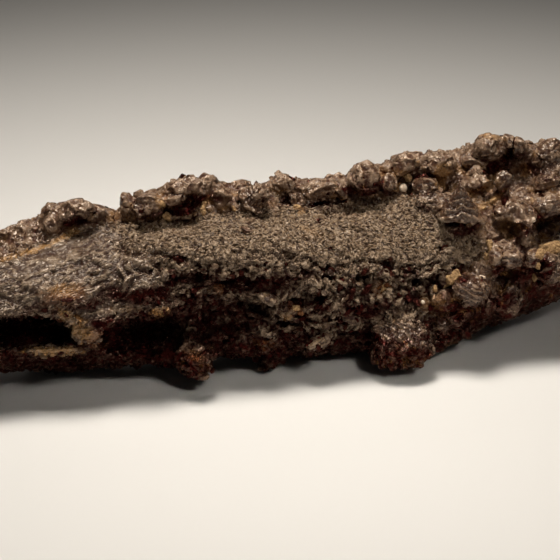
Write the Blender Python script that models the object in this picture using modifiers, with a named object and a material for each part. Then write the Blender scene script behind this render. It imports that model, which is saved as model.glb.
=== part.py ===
"""A prophecy stone: one rod-shaped nodule of dark iron oxide, lying on a flat surface.

The stone grew as a thick rod with a knobbly strand fused along the back of its top. Lumps of
crystals stand out of it, and hollows with sharp lips run along its lower front. All of it is one
piece, so everything here is fused into one solid, worn flat where it touches the surface.

Lengths in the lists are millimetres. X runs along the rod, -Y is the front, +Z is up.
"""

import math
import random

import bmesh
import bpy
from mathutils import Euler, Matrix, Vector, noise

MM = 0.001

VOXEL = 0.6  # grid on which the shapes are fused
TRIANGLES = 9200  # the finished stone
BLOCK_SIZE = 3.2  # the coarse crystal blocks that the crust breaks into
BLOCK_DEPTH = 0.6
SWELL_SIZE = 12.0  # slow unevenness of the whole surface
SWELL_DEPTH = 0.4
ROUGH_SIZE = 2.6  # unevenness of each lump and hollow
LUMP_ROUGHNESS = 0.9
HOLLOW_ROUGHNESS = 1.5
HIDDEN_LUMPS = 110  # lumps scattered over the back, the underside and the ends
HIDDEN_SEED = 11
NOISE_SEED = 5  # noise vectors are offset by this

# The rod: x, y, z of its middle, then its radius.
ROD = [
    (-63.5, 1.5, 14.5, 2.5),
    (-60.5, 1.0, 14.0, 6.6),
    (-54.0, 0.5, 13.8, 9.0),
    (-47.0, 0.0, 13.6, 10.4),
    (-38.0, 0.0, 13.4, 11.2),
    (-28.0, -0.5, 13.5, 11.8),
    (-17.0, -1.0, 13.5, 12.1),
    (-7.0, -1.0, 13.9, 11.9),
    (4.0, -1.0, 12.8, 13.0),
    (15.0, -1.0, 13.0, 13.0),
    (26.0, -0.5, 13.2, 13.2),
    (35.0, 0.0, 14.0, 13.2),
    (43.0, 0.5, 15.0, 12.6),
    (51.0, 0.5, 15.8, 11.4),
    (58.0, 1.0, 16.6, 9.4),
    (62.5, 1.0, 17.0, 6.0),
    (64.5, 1.0, 17.2, 2.5),
]

# The strand along the top: x, y, z of its middle, then its radius.
STRAND = [
    (-61.0, 3.5, 16.6, 3.0),
    (-54.0, 4.0, 18.6, 4.2),
    (-46.0, 4.0, 20.2, 4.2),
    (-38.0, 4.0, 21.8, 4.4),
    (-31.5, 4.0, 23.0, 4.4),
    (-26.0, 4.5, 22.6, 3.4),
    (-21.0, 4.0, 24.0, 4.2),
    (-11.0, 4.0, 25.6, 4.4),
    (-4.0, 4.5, 24.4, 3.8),
    (2.0, 4.5, 25.4, 4.0),
    (9.5, 5.0, 24.0, 4.0),
    (16.0, 4.5, 25.2, 4.2),
    (24.0, 4.0, 26.6, 4.4),
    (31.0, 4.0, 26.2, 4.4),
    (38.0, 4.0, 28.6, 5.0),
    (46.0, 3.5, 26.8, 5.0),
    (53.0, 3.0, 26.0, 5.0),
    (59.0, 2.5, 23.6, 4.4),
    (62.0, 2.5, 21.0, 3.0),
]

# Lumps that can be told apart: name, middle, half sizes, turn about X, Y and Z in degrees.
LUMPS = [
    ("tongue", (-38.0, -6.2, 19.4), (21.0, 6.0, 4.6), (28, -4, 0)),
    ("tongue_nose", (-24.0, -8.2, 20.4), (8.0, 5.0, 3.8), (30, -6, 0)),
    ("front_lip", (-37.0, -8.0, 15.9), (22.0, 5.2, 1.8), (14, -1, 1)),
    ("hollow_sill", (-39.0, -4.6, 9.4), (13.0, 5.0, 2.2), (-14, 0, 3)),
    ("hollow_post", (-29.8, -8.4, 12.4), (3.4, 4.2, 5.2), (0, 8, 0)),
    ("crust_ledge", (-5.0, -7.8, 21.0), (23.0, 5.6, 4.2), (34, 5, 0)),
    ("left_foot", (-34.0, 4.0, 3.6), (8.0, 5.0, 4.6), (0, 0, 4)),
    ("strand_toe", (-47.2, 0.6, 22.0), (4.2, 3.2, 2.5), (0, -8, 0)),
    ("strand_left", (-40.6, 1.2, 23.8), (3.2, 3.2, 2.4), (0, -8, 0)),
    ("strand_peak", (-34.0, 2.4, 26.8), (4.4, 3.8, 3.0), (0, 6, 0)),
    ("strand_bead", (-29.6, 1.4, 25.8), (2.6, 2.6, 2.3), (0, 12, 0)),
    ("strand_pebble", (-35.8, -1.0, 24.6), (2.0, 1.6, 1.3), (0, 0, 0)),
    ("strand_notch_side", (-23.6, 1.0, 26.4), (1.5, 2.0, 2.3), (0, 0, 0)),
    ("strand_tablet", (-21.4, 1.0, 27.8), (3.4, 3.2, 2.8), (10, -10, 0)),
    ("strand_block", (-15.8, 1.6, 29.0), (3.8, 3.4, 2.9), (0, -6, 0)),
    ("strand_tip_left", (-10.8, 3.4, 28.9), (3.0, 3.0, 2.2), (0, 4, 0)),
    ("strand_wedge", (-4.4, 0.4, 27.2), (3.0, 2.6, 2.1), (0, -16, 0)),
    ("strand_tip_mid", (1.4, 3.6, 28.2), (3.0, 2.8, 2.0), (0, 0, 0)),
    ("strand_slab", (8.6, 1.6, 26.4), (5.6, 3.2, 2.2), (12, 1, 0)),
    ("strand_tooth", (14.2, 0.8, 29.4), (3.0, 2.8, 2.8), (0, 0, 12)),
    ("strand_shoulder", (19.0, 1.2, 27.8), (2.4, 3.0, 2.4), (0, 0, 0)),
    ("strand_knuckle", (22.4, 2.6, 30.0), (2.6, 3.0, 2.3), (0, 10, 0)),
    ("strand_dome", (27.0, 1.8, 29.2), (3.6, 3.4, 2.5), (0, 0, 0)),
    ("cup_lump", (24.6, -4.6, 26.6), (3.2, 2.8, 2.3), (0, 10, 0)),
    ("pyramid", (28.6, -8.4, 24.6), (3.7, 3.2, 2.2), (24, 0, 0)),
    ("pyramid_top", (28.4, -7.2, 26.4), (1.9, 1.9, 2.2), (20, 0, 0)),
    ("brow", (32.6, -3.0, 28.4), (3.2, 2.8, 1.8), (0, -22, 0)),
    ("crown", (37.6, 1.4, 31.8), (4.0, 3.6, 3.2), (0, 0, 0)),
    ("crown_side", (43.2, 1.2, 30.6), (3.0, 3.4, 2.8), (0, 8, 0)),
    ("button", (37.2, -6.2, 27.8), (1.5, 2.4, 2.3), (0, 0, 0)),
    ("stack_top", (48.0, -0.8, 28.6), (4.0, 4.0, 3.4), (0, 10, 0)),
    ("stack_low", (47.0, -6.0, 24.6), (4.4, 3.8, 2.4), (0, -12, 8)),
    ("fan", (38.6, -9.0, 23.6), (4.2, 3.8, 2.8), (10, 0, 0)),
    ("shell", (39.8, -12.2, 17.6), (1.5, 2.4, 2.3), (0, 10, 0)),
    ("ribbed_ball", (44.0, -10.6, 15.2), (3.5, 3.5, 3.5), (0, 0, 0)),
    ("small_stack", (34.6, -11.6, 17.2), (3.2, 3.0, 2.2), (0, 0, 0)),
    ("ribbed_lump", (30.6, -12.0, 12.4), (3.8, 3.6, 3.4), (0, 14, 0)),
    ("low_block", (36.6, -9.8, 9.6), (3.4, 3.8, 2.8), (0, -20, 0)),
    ("foot_lobe", (18.2, -9.4, 5.2), (5.8, 5.8, 5.9), (0, 0, 0)),
    ("lobe_brow", (17.4, -12.2, 9.4), (4.4, 3.4, 2.8), (0, 6, 0)),
    ("lobe_side", (25.4, -8.8, 5.4), (5.4, 4.4, 4.2), (0, -24, 0)),
    ("front_knob", (-16.4, -9.4, 4.9), (2.9, 3.2, 2.9), (0, 0, 0)),
    ("knob_neck", (-15.6, -7.6, 6.6), (2.6, 3.0, 3.4), (0, 0, 0)),
    ("low_knob_a", (-8.0, -8.8, 6.0), (1.5, 2.2, 2.0), (0, 0, 0)),
    ("low_knob_b", (-5.0, -11.2, 7.4), (2.3, 2.3, 2.2), (0, 0, 0)),
    ("low_knob_c", (-3.4, -7.6, 3.2), (2.4, 2.6, 2.6), (0, 0, 0)),
    ("flake", (4.0, -12.0, 6.8), (2.6, 1.8, 1.1), (0, -28, 0)),
    ("back_foot", (20.0, 8.5, 4.2), (7.0, 5.0, 5.0), (0, 0, 6)),
    ("back_shoulder", (-12.0, 10.6, 15.0), (9.0, 4.0, 6.0), (0, 6, 0)),
    ("back_boss", (33.0, 11.0, 19.0), (6.0, 4.0, 5.0), (0, 0, 0)),
    ("left_end_boss", (-58.5, -3.0, 15.6), (4.4, 4.0, 4.0), (0, 0, 0)),
    ("right_end_boss", (58.0, -4.0, 20.4), (4.8, 4.4, 4.4), (0, 0, 0)),
    ("right_end_knob", (61.5, 3.0, 14.0), (3.0, 4.0, 3.6), (0, 0, 0)),
]

# Hollows cut into the stone: name, middle, half sizes, turn about X, Y and Z in degrees.
HOLLOWS = [
    ("lip_hollow", (-43.5, -11.6, 12.8), (10.0, 6.4, 2.5), (0, 0, 2)),
    ("hollow_throat", (-40.0, -8.6, 13.4), (7.0, 5.0, 2.0), (0, 0, 0)),
    ("sill_undercut", (-42.0, -12.6, 4.4), (18.0, 8.0, 3.6), (0, 0, 2)),
    ("lip_undercut", (-22.0, -14.8, 11.4), (6.6, 5.8, 4.0), (0, 0, -2)),
    ("knob_recess", (-11.5, -14.4, 8.4), (3.4, 4.4, 3.4), (0, 0, 0)),
    ("mid_undercut", (6.0, -15.6, 9.8), (9.0, 4.0, 1.9), (0, 6, 0)),
    ("belly_pit", (-2.0, -15.4, 12.6), (5.6, 3.4, 1.6), (0, -14, 0)),
    ("ledge_shadow", (-17.0, -14.2, 19.6), (9.0, 2.6, 0.8), (0, 10, 2)),
    ("strand_gap", (-26.6, 3.0, 30.4), (1.8, 6.0, 3.0), (0, 18, 0)),
    ("strand_dip", (-5.6, 4.0, 32.4), (3.0, 6.0, 2.6), (0, 0, 0)),
    ("tablet_pit", (-17.9, -2.4, 26.4), (1.1, 1.6, 1.3), (0, 0, 0)),
    ("block_pit", (-12.4, -2.0, 28.2), (1.7, 1.6, 0.9), (0, 20, 0)),
    ("strand_crease", (10.0, -2.4, 24.9), (7.0, 1.8, 0.8), (18, 2, 0)),
    ("cup", (24.2, -6.0, 28.6), (1.7, 1.9, 1.4), (0, 0, 0)),
    ("pyramid_shade", (29.0, -11.6, 21.8), (4.0, 1.8, 0.9), (0, -4, 0)),
    ("crown_pit", (41.0, -2.2, 31.8), (1.5, 2.2, 1.6), (0, 0, 0)),
    ("fan_dish", (38.4, -13.6, 21.6), (3.4, 3.4, 2.0), (10, 0, 0)),
    ("fan_cleft", (42.4, -10.4, 22.0), (0.8, 4.0, 4.6), (0, 0, 0)),
    ("stack_cave", (46.4, -10.6, 20.8), (4.4, 4.8, 1.9), (0, -6, 8)),
    ("block_gap", (36.4, -15.0, 13.4), (3.0, 3.2, 1.3), (0, 0, 0)),
    ("right_lift", (58.0, -3.0, -0.5), (13.0, 18.0, 5.0), (0, -14, 0)),
    ("back_hollow", (4.0, 15.6, 19.0), (8.0, 3.6, 3.4), (0, 10, 0)),
]


def millimetres(point):
    return Vector(point) * MM


def new_object(name, mesh):
    obj = bpy.data.objects.new(name, mesh)
    bpy.context.scene.collection.objects.link(obj)
    return obj


def remove_everything():
    for obj in list(bpy.data.objects):
        bpy.data.objects.remove(obj, do_unlink=True)


def tube(name, points):
    """A smooth tube through points of x, y, z and radius, as a closed mesh."""
    curve = bpy.data.curves.new(name, "CURVE")
    curve.dimensions = "3D"
    curve.bevel_depth = MM
    curve.bevel_resolution = 6
    curve.use_fill_caps = True
    curve.resolution_u = 6
    spline = curve.splines.new("NURBS")
    spline.points.add(len(points) - 1)
    spline.order_u = 4
    spline.use_endpoint_u = True
    for point, (x, y, z, radius) in zip(spline.points, points):
        point.co = (*millimetres((x, y, z)), 1.0)
        point.radius = radius
    guide = new_object(name, curve)
    bpy.context.view_layer.update()
    graph = bpy.context.evaluated_depsgraph_get()
    mesh = bpy.data.meshes.new_from_object(guide.evaluated_get(graph))
    bpy.data.objects.remove(guide)
    return mesh


def ellipsoid(bm, middle, half_sizes, turn):
    """Adds an ellipsoid whose surface is a little uneven."""
    matrix = Matrix.LocRotScale(
        millimetres(middle),
        Euler([math.radians(angle) for angle in turn]),
        millimetres(half_sizes),
    )
    made = bmesh.ops.create_icosphere(bm, subdivisions=3, radius=1.0, matrix=matrix)
    return made["verts"]


def roughen(verts, depth, seed):
    """Moves points in and out by a slow noise, so that no lump is a true ellipsoid."""
    offset = Vector((seed * 7.3, seed * 3.1, seed * 5.7))
    middle = sum((v.co for v in verts), Vector()) / len(verts)
    for v in verts:
        outward = (v.co - middle).normalized()
        v.co += outward * depth * MM * noise.noise(v.co / (ROUGH_SIZE * MM) + offset)


def nearest_on_rod(x):
    """The middle and radius of the rod at x, in millimetres."""
    for (x0, y0, z0, r0), (x1, y1, z1, r1) in zip(ROD, ROD[1:]):
        if x <= x1:
            share = max(0.0, (x - x0) / (x1 - x0))
            return (
                y0 + (y1 - y0) * share,
                z0 + (z1 - z0) * share,
                r0 + (r1 - r0) * share,
            )
    return ROD[-1][1:]


def add_hidden_lumps(bm):
    """Scatters lumps over what the named ones leave plain: the back, the underside and the ends."""
    dice = random.Random(HIDDEN_SEED)
    for number in range(HIDDEN_LUMPS):
        x = dice.uniform(-58.0, 58.0)
        near_end = abs(x) > 47.0
        angle = math.radians(dice.uniform(-180.0, 180.0) if near_end else dice.uniform(-60.0, 72.0))
        y, z, radius = nearest_on_rod(x)
        size = dice.uniform(2.0, 4.2)
        reach = radius - 0.45 * size
        middle = (x, y + reach * math.cos(angle), z + reach * math.sin(angle))
        half_sizes = [size * dice.uniform(0.75, 1.2) for _ in range(3)]
        turn = [dice.uniform(-40.0, 40.0) for _ in range(3)]
        verts = ellipsoid(bm, middle, half_sizes, turn)
        roughen(verts, LUMP_ROUGHNESS, number + 50)


def fused_shapes():
    bm = bmesh.new()
    for name, points in (("rod", ROD), ("strand", STRAND)):
        mesh = tube(name, points)
        bm.from_mesh(mesh)
        bpy.data.meshes.remove(mesh)
    bmesh.ops.remove_doubles(bm, verts=bm.verts, dist=0.01 * MM)
    for number, (_, middle, half_sizes, turn) in enumerate(LUMPS):
        verts = ellipsoid(bm, middle, half_sizes, turn)
        roughen(verts, LUMP_ROUGHNESS, number)
    add_hidden_lumps(bm)
    mesh = bpy.data.meshes.new("shapes")
    bm.to_mesh(mesh)
    bm.free()
    return new_object("prophecy_stone", mesh)


def hollow_cutter():
    bm = bmesh.new()
    for number, (_, middle, half_sizes, turn) in enumerate(HOLLOWS):
        verts = ellipsoid(bm, middle, half_sizes, turn)
        roughen(verts, HOLLOW_ROUGHNESS, number + 200)
    mesh = bpy.data.meshes.new("hollows")
    bm.to_mesh(mesh)
    bm.free()
    cutter = new_object("hollows", mesh)
    cutter.modifiers.new("one skin", "REMESH").mode = "VOXEL"
    cutter.modifiers["one skin"].voxel_size = VOXEL * MM
    bake(cutter)
    cutter.hide_render = True
    cutter.display_type = "WIRE"
    return cutter


def bake(obj):
    """Applies every modifier of an object."""
    bpy.context.view_layer.update()
    graph = bpy.context.evaluated_depsgraph_get()
    mesh = bpy.data.meshes.new_from_object(obj.evaluated_get(graph))
    obj.modifiers.clear()
    obj.data = mesh


def voxel_fuse(obj):
    fuse = obj.modifiers.new("fuse", "REMESH")
    fuse.mode = "VOXEL"
    fuse.voxel_size = VOXEL * MM
    bake(obj)


def cut_hollows(obj, cutter):
    cut = obj.modifiers.new("hollows", "BOOLEAN")
    cut.operation = "DIFFERENCE"
    cut.object = cutter
    bake(obj)


def blockiness(point):
    """How strongly the crust breaks into blocks: little on the fine-grained upper front."""
    x, y, z = point / MM
    along = min(1.0, max(0.0, (abs(x - 1.0) - 26.0) / 6.0))
    below = min(1.0, max(0.0, (19.0 - z) / 4.0))
    behind = min(1.0, max(0.0, (y - 0.0) / 3.0))
    return 0.3 + 0.7 * max(along, below, behind)


def grain(obj):
    """Breaks the surface into coarse blocks of crystals on a slow swell."""
    bm = bmesh.new()
    bm.from_mesh(obj.data)
    bm.normal_update()
    moves = []
    for v in bm.verts:
        wander = noise.noise_vector(v.co / (6.0 * MM)) * 0.35
        distances, cells = noise.voronoi(v.co / (BLOCK_SIZE * MM) + wander)
        step = noise.noise(cells[0] * 5.3)
        crown = min(1.0, 2.2 * (distances[1] - distances[0])) - 0.7
        block = blockiness(v.co) * BLOCK_DEPTH * (step + crown)
        swell = SWELL_DEPTH * noise.noise(v.co / (SWELL_SIZE * MM))
        moves.append(v.normal * MM * (block + swell))
    for v, move in zip(bm.verts, moves):
        v.co += move
    bm.to_mesh(obj.data)
    bm.free()


def thin_out(obj):
    faces = sum(len(polygon.vertices) - 2 for polygon in obj.data.polygons)
    thin = obj.modifiers.new("thin out", "DECIMATE")
    thin.ratio = TRIANGLES / faces
    thin.use_collapse_triangulate = True
    bake(obj)


def wear_feet_flat(obj):
    """Stands the stone on z = 0, with what would reach below it worn off flat."""
    points = [v.co for v in obj.data.vertices]
    middle_x = (min(p.x for p in points) + max(p.x for p in points)) / 2
    middle_y = (min(p.y for p in points) + max(p.y for p in points)) / 2
    obj.data.transform(Matrix.Translation((-middle_x, -middle_y, 0.0)))
    bm = bmesh.new()
    bm.from_mesh(obj.data)
    cut = bmesh.ops.bisect_plane(
        bm,
        geom=bm.verts[:] + bm.edges[:] + bm.faces[:],
        plane_co=(0, 0, 0),
        plane_no=(0, 0, 1),
        clear_inner=True,
    )
    rims = [item for item in cut["geom_cut"] if isinstance(item, bmesh.types.BMEdge)]
    bmesh.ops.holes_fill(bm, edges=rims, sides=0)
    bmesh.ops.triangulate(bm, faces=bm.faces[:])
    bm.to_mesh(obj.data)
    bm.free()


def stone_material():
    material = bpy.data.materials.new("iron oxide")
    material.use_nodes = True
    shader = material.node_tree.nodes["Principled BSDF"]
    shader.inputs["Base Color"].default_value = (0.10, 0.075, 0.055, 1.0)
    shader.inputs["Roughness"].default_value = 0.45
    shader.inputs["Metallic"].default_value = 0.25
    return material


def main():
    remove_everything()
    noise.seed_set(NOISE_SEED)
    stone = fused_shapes()
    voxel_fuse(stone)
    cut_hollows(stone, hollow_cutter())
    voxel_fuse(stone)
    grain(stone)
    thin_out(stone)
    wear_feet_flat(stone)
    stone.data.materials.clear()
    stone.data.materials.append(stone_material())
    stone.data.shade_smooth()
    collection = bpy.data.collections.new("prophecy stone")
    bpy.context.scene.collection.children.link(collection)
    bpy.context.scene.collection.objects.unlink(stone)
    collection.objects.link(stone)


main()
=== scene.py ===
import math

import bmesh
import bpy
import numpy as np
from mathutils import Matrix, Vector, noise
from mathutils.bvhtree import BVHTree
from mathutils.kdtree import KDTree


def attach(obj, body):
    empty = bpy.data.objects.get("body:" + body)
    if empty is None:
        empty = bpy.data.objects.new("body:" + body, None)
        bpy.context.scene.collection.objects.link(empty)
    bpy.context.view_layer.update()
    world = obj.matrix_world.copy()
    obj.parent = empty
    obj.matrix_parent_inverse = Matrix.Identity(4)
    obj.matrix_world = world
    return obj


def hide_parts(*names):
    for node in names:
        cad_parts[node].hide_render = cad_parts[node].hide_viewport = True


# A prophecy stone: a rod of dark iron oxide lying on a table. Lengths in the dictionaries are
# millimetres and angles degrees. Places given as "at" are pixels of a 560 x 560 picture seen
# through the camera below; each is cast onto the stone, and so lies on it.

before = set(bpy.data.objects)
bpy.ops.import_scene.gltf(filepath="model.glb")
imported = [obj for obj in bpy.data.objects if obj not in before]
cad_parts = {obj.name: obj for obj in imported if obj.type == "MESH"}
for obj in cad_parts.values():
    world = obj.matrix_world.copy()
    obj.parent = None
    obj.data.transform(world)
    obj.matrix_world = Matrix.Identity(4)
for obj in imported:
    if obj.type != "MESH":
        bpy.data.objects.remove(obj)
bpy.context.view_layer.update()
mm = 0.001
noise.seed_set(5)

view = {
    "azimuth": -15.0,
    "elevation": 24.0,
    "distance": 260.0,
    "lens": 101.0,
    "lookAt": (0.0, 0.0, 13.1),
    "picture": 560,
    "filmWidth": 36.0,
}

azimuth, elevation = math.radians(view["azimuth"]), math.radians(view["elevation"])
viewBack = np.array((
    math.sin(azimuth) * math.cos(elevation),
    -math.cos(azimuth) * math.cos(elevation),
    math.sin(elevation),
))
viewRight = np.array((math.cos(azimuth), math.sin(azimuth), 0.0))
viewUp = np.cross(viewBack, viewRight)
lookAt = np.array(view["lookAt"])
pixelsAtOne = view["picture"] * view["lens"] / view["filmWidth"]


def onPicture(points):
    # pixel across, pixel down, for points in millimetres
    away = points - lookAt
    depth = view["distance"] - away @ viewBack
    across = view["picture"] / 2 + pixelsAtOne * (away @ viewRight) / depth
    down = view["picture"] / 2 - pixelsAtOne * (away @ viewUp) / depth
    return across, down


def rayThrough(at):
    eye = lookAt + viewBack * view["distance"]
    across = (at[0] - view["picture"] / 2) / pixelsAtOne
    up = (view["picture"] / 2 - at[1]) / pixelsAtOne
    direction = -viewBack + viewRight * across + viewUp * up
    return eye, direction / np.linalg.norm(direction)


def smoothStep(low, high, value):
    share = np.clip((value - low) / (high - low), 0.0, 1.0)
    return share * share * (3.0 - 2.0 * share)


def newObject(name, mesh):
    obj = bpy.data.objects.new(name, mesh)
    bpy.context.scene.collection.objects.link(obj)
    return obj


def bake(obj):
    bpy.context.view_layer.update()
    graph = bpy.context.evaluated_depsgraph_get()
    mesh = bpy.data.meshes.new_from_object(obj.evaluated_get(graph))
    obj.modifiers.clear()
    old = obj.data
    obj.data = mesh
    bpy.data.meshes.remove(old)


def fuse(obj, voxel):
    remesh = obj.modifiers.new("fuse", "REMESH")
    remesh.mode = "VOXEL"
    remesh.voxel_size = voxel * mm
    bake(obj)


def soften(obj, rounds):
    smooth = obj.modifiers.new("soften", "SMOOTH")
    smooth.factor = 0.5
    smooth.iterations = rounds
    bake(obj)


def pointsOf(mesh):
    flat = np.empty(len(mesh.vertices) * 3, np.float32)
    mesh.vertices.foreach_get("co", flat)
    return flat.reshape(-1, 3).astype(float) / mm


def normalsOf(mesh):
    flat = np.empty(len(mesh.vertices) * 3, np.float32)
    mesh.vertex_normals.foreach_get("vector", flat)
    return flat.reshape(-1, 3).astype(float)


def movePoints(mesh, points):
    mesh.vertices.foreach_set("co", (points * mm).astype(np.float32).ravel())
    mesh.update()


def triangleCount(mesh):
    return sum(len(p.vertices) - 2 for p in mesh.polygons)


def treeOf(obj):
    mesh = obj.data
    return BVHTree.FromPolygons([v.co / mm for v in mesh.vertices], [p.vertices for p in mesh.polygons])


def castFrom(tree, at):
    eye, direction = rayThrough(at)
    place, normal, _, _ = tree.ray_cast(Vector(eye), Vector(direction))
    return place, normal


body = {
    "softVoxel": 0.5,  # the faceted solid is softened on this grid
    "softRounds": 8,
    "roomForForms": 0.35,  # how far the lumps sink before the forms are set on them
    "underCrystals": 0.97,  # size of the fused lump below each crystal
    "underPeak": 0.5,
    "formVoxel": 0.34,
    "fineVoxel": 0.24,  # the finished relief is cut on this one
    "quickCoarser": 1.7,
    "triangles": 194000,
    "turnedAway": 75000,  # triangles of the far side before the last thinning
    "awayBelow": -0.05,  # a face is on the far side if its normal has less than this to the camera
}


def softStone():
    bm = bmesh.new()
    bm.from_mesh(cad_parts["prophecy_stone"].data)
    bmesh.ops.remove_doubles(bm, verts=bm.verts, dist=0.001 * mm)
    mesh = bpy.data.meshes.new("stone_surface")
    bm.to_mesh(mesh)
    bm.free()
    stone = newObject("stone_surface", mesh)
    stone.data.materials.clear()
    fuse(stone, body["softVoxel"])
    soften(stone, body["softRounds"])
    return stone


stone = softStone()
print("softened", triangleCount(stone.data), "triangles")

zones = {
    # pixels along the groove below the strand
    "groove": [(0, 262), (40, 246), (80, 229), (120, 222), (200, 215), (240, 211), (300, 207),
               (350, 203), (400, 196), (430, 204), (450, 224), (480, 240), (560, 300)],
    # where the right-hand lumps begin, as pixels across at pixels down
    "lumpsFrom": [(190, 405), (205, 438), (225, 474), (258, 484), (272, 456), (300, 440), (380, 432)],
    # where the wrinkled skin ends
    "skinTo": [(215, 108), (240, 120), (256, 140), (275, 160), (310, 168), (330, 140)],
    # how far the borders stray, in pixels, and the size of the bends in mm
    "stray": (16.0, 3.6),
    "strayFine": (7.0, 1.1),
    # pixels over which each border fades, and heights in mm for the lumps of the far side
    "grooveEdge": (3.0, -5.0),
    "lumpsEdge": (-7.0, 9.0),
    "skinEdge": (8.0, -8.0),
    "pitsFrom": (248.0, 275.0),
    "farLumpsFrom": (16.0, 22.0),
    # how far a normal may turn away from the camera before its point counts as the far side
    "seen": (-0.35, 0.05),
    # middle, stretch of its height, and where it fades, in pixels
    "lobe": ((402, 348), 1.2, (38.0, 28.0)),
    "leftKnob": ((195, 357), 1.0, (25.0, 17.0)),
}


def noiseOn(points, size, shift):
    # the shift only picks another stretch of the noise
    return np.array([noise.noise(Vector(p)) for p in (points / size + shift).tolist()])


def zoneWeights(points, normals):
    across, down = onPicture(points)
    (far, size), (fineFar, fineSize) = zones["stray"], zones["strayFine"]
    strayed = far * noiseOn(points, size, 1.9) + fineFar * noiseOn(points, fineSize, 2.8)
    across, down = across + 0.4 * strayed, down + 0.25 * strayed
    seen = smoothStep(*zones["seen"], normals @ viewBack)
    groove = np.interp(across, *zip(*zones["groove"]))
    strand = smoothStep(*zones["grooveEdge"], down - groove)
    lumpLine = np.interp(down, *zip(*zones["lumpsFrom"]))
    rightLumps = smoothStep(*zones["lumpsEdge"], across - lumpLine)
    spots = []
    for at, stretch, edge in (zones["lobe"], zones["leftKnob"]):
        spots.append(smoothStep(*edge, np.hypot(across - at[0], (down - at[1]) * stretch)))
    lumps = np.maximum.reduce([strand, rightLumps] + spots)
    backLumps = smoothStep(*zones["farLumpsFrom"], points[:, 2])
    lumps = seen * lumps + (1 - seen) * np.maximum(0.35, backLumps)
    skinLine = np.interp(down, *zip(*zones["skinTo"]))
    skin = smoothStep(*zones["skinEdge"], across + strayed - skinLine) * seen * (1 - lumps)
    skin *= smoothStep(-0.75, -0.35, normals[:, 2])  # none on the underside
    crust = (1 - lumps) * (1 - skin)
    pits = crust * smoothStep(*zones["pitsFrom"], down) * seen + crust * (1 - seen) * 0.5
    return {"lumps": lumps, "skin": skin, "crust": crust, "pits": pits, "seen": seen,
            "strand": strand * seen}


def scatter(points, triangles, weights, spacing, dice, tries):
    # spots on the surface, at least the local spacing apart; spacing has one value a vertex
    corners = points[triangles]
    areas = np.linalg.norm(np.cross(corners[:, 1] - corners[:, 0], corners[:, 2] - corners[:, 0]), axis=1) / 2
    chance = areas * weights[triangles].mean(axis=1) / spacing[triangles].mean(axis=1) ** 2
    picks = dice.choice(len(triangles), size=tries, p=chance / chance.sum())
    a, b = dice.random(tries), dice.random(tries)
    over = a + b > 1
    a[over], b[over] = 1 - a[over], 1 - b[over]
    share = np.stack([1 - a - b, a, b], axis=1)
    spots = (corners[picks] * share[:, :, None]).sum(axis=1)
    gaps = (spacing[triangles[picks]] * share).sum(axis=1)
    cell = float(spacing.max())
    taken, kept = {}, []
    for number, (spot, gap) in enumerate(zip(spots, gaps)):
        home = tuple((spot // cell).astype(int))
        near = (other for dx in (-1, 0, 1) for dy in (-1, 0, 1) for dz in (-1, 0, 1)
                for other in taken.get((home[0] + dx, home[1] + dy, home[2] + dz), ()))
        if all((spot[0] - q[0]) ** 2 + (spot[1] - q[1]) ** 2 + (spot[2] - q[2]) ** 2 >= min(gap, q[3]) ** 2
               for q in near):
            taken.setdefault(home, []).append((spot[0], spot[1], spot[2], gap))
            kept.append(number)
    return spots[kept], picks[kept], gaps[kept]


def surfaceOf(obj):
    mesh = obj.data
    mesh.calc_loop_triangles()
    triangles = np.empty(len(mesh.loop_triangles) * 3, np.int32)
    mesh.loop_triangles.foreach_get("vertices", triangles)
    return pointsOf(mesh), normalsOf(mesh), triangles.reshape(-1, 3)


def turnedFrames(normals, alongs):
    # columns: along, across, outward
    outward = normals / np.linalg.norm(normals, axis=1)[:, None]
    along = alongs - outward * (alongs * outward).sum(axis=1)[:, None]
    along /= np.linalg.norm(along, axis=1)[:, None] + 1e-9
    across = np.cross(outward, along)
    return np.stack([along, across, outward], axis=2)


def cutFaces(polygons):
    # bevels start their faces at corners that vary from run to run, so each is cut from its lowest
    triangles = []
    for corners in polygons:
        first = corners.index(min(corners))
        corners = corners[first:] + corners[:first]
        triangles += [(corners[0], b, c) for b, c in zip(corners[1:], corners[2:])]
    return np.array(sorted(triangles))


def templateShape(makeShape):
    bm = bmesh.new()
    makeShape(bm)
    mesh = bpy.data.meshes.new("template")
    bm.to_mesh(mesh)
    bm.free()
    points = pointsOf(mesh) * mm
    faces = cutFaces([p.vertices[:] for p in mesh.polygons])
    bpy.data.meshes.remove(mesh)
    return points, faces


def joinedCopies(name, template, middles, turns, sizes, wobble, dice):
    # one mesh of many copies of a small shape, each turned, stretched and a little uneven
    shape, faces = template
    copies = shape[None, :, :] * sizes[:, None, :]
    copies = copies * (1 + dice.uniform(-wobble, wobble, copies.shape))
    copies = np.einsum("nij,nkj->nki", turns, copies) + middles[:, None, :]
    copies[:, :, 2] -= np.minimum(copies[:, :, 2].min(axis=1), 0.0)[:, None]  # none below the table
    starts = np.arange(len(middles))[:, None, None] * len(shape)
    allFaces = (faces[None, :, :] + starts).reshape(-1, 3)
    mesh = bpy.data.meshes.new(name)
    mesh.from_pydata((copies.reshape(-1, 3) * mm).tolist(), [], allFaces.tolist())
    mesh.update()
    return mesh


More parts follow.
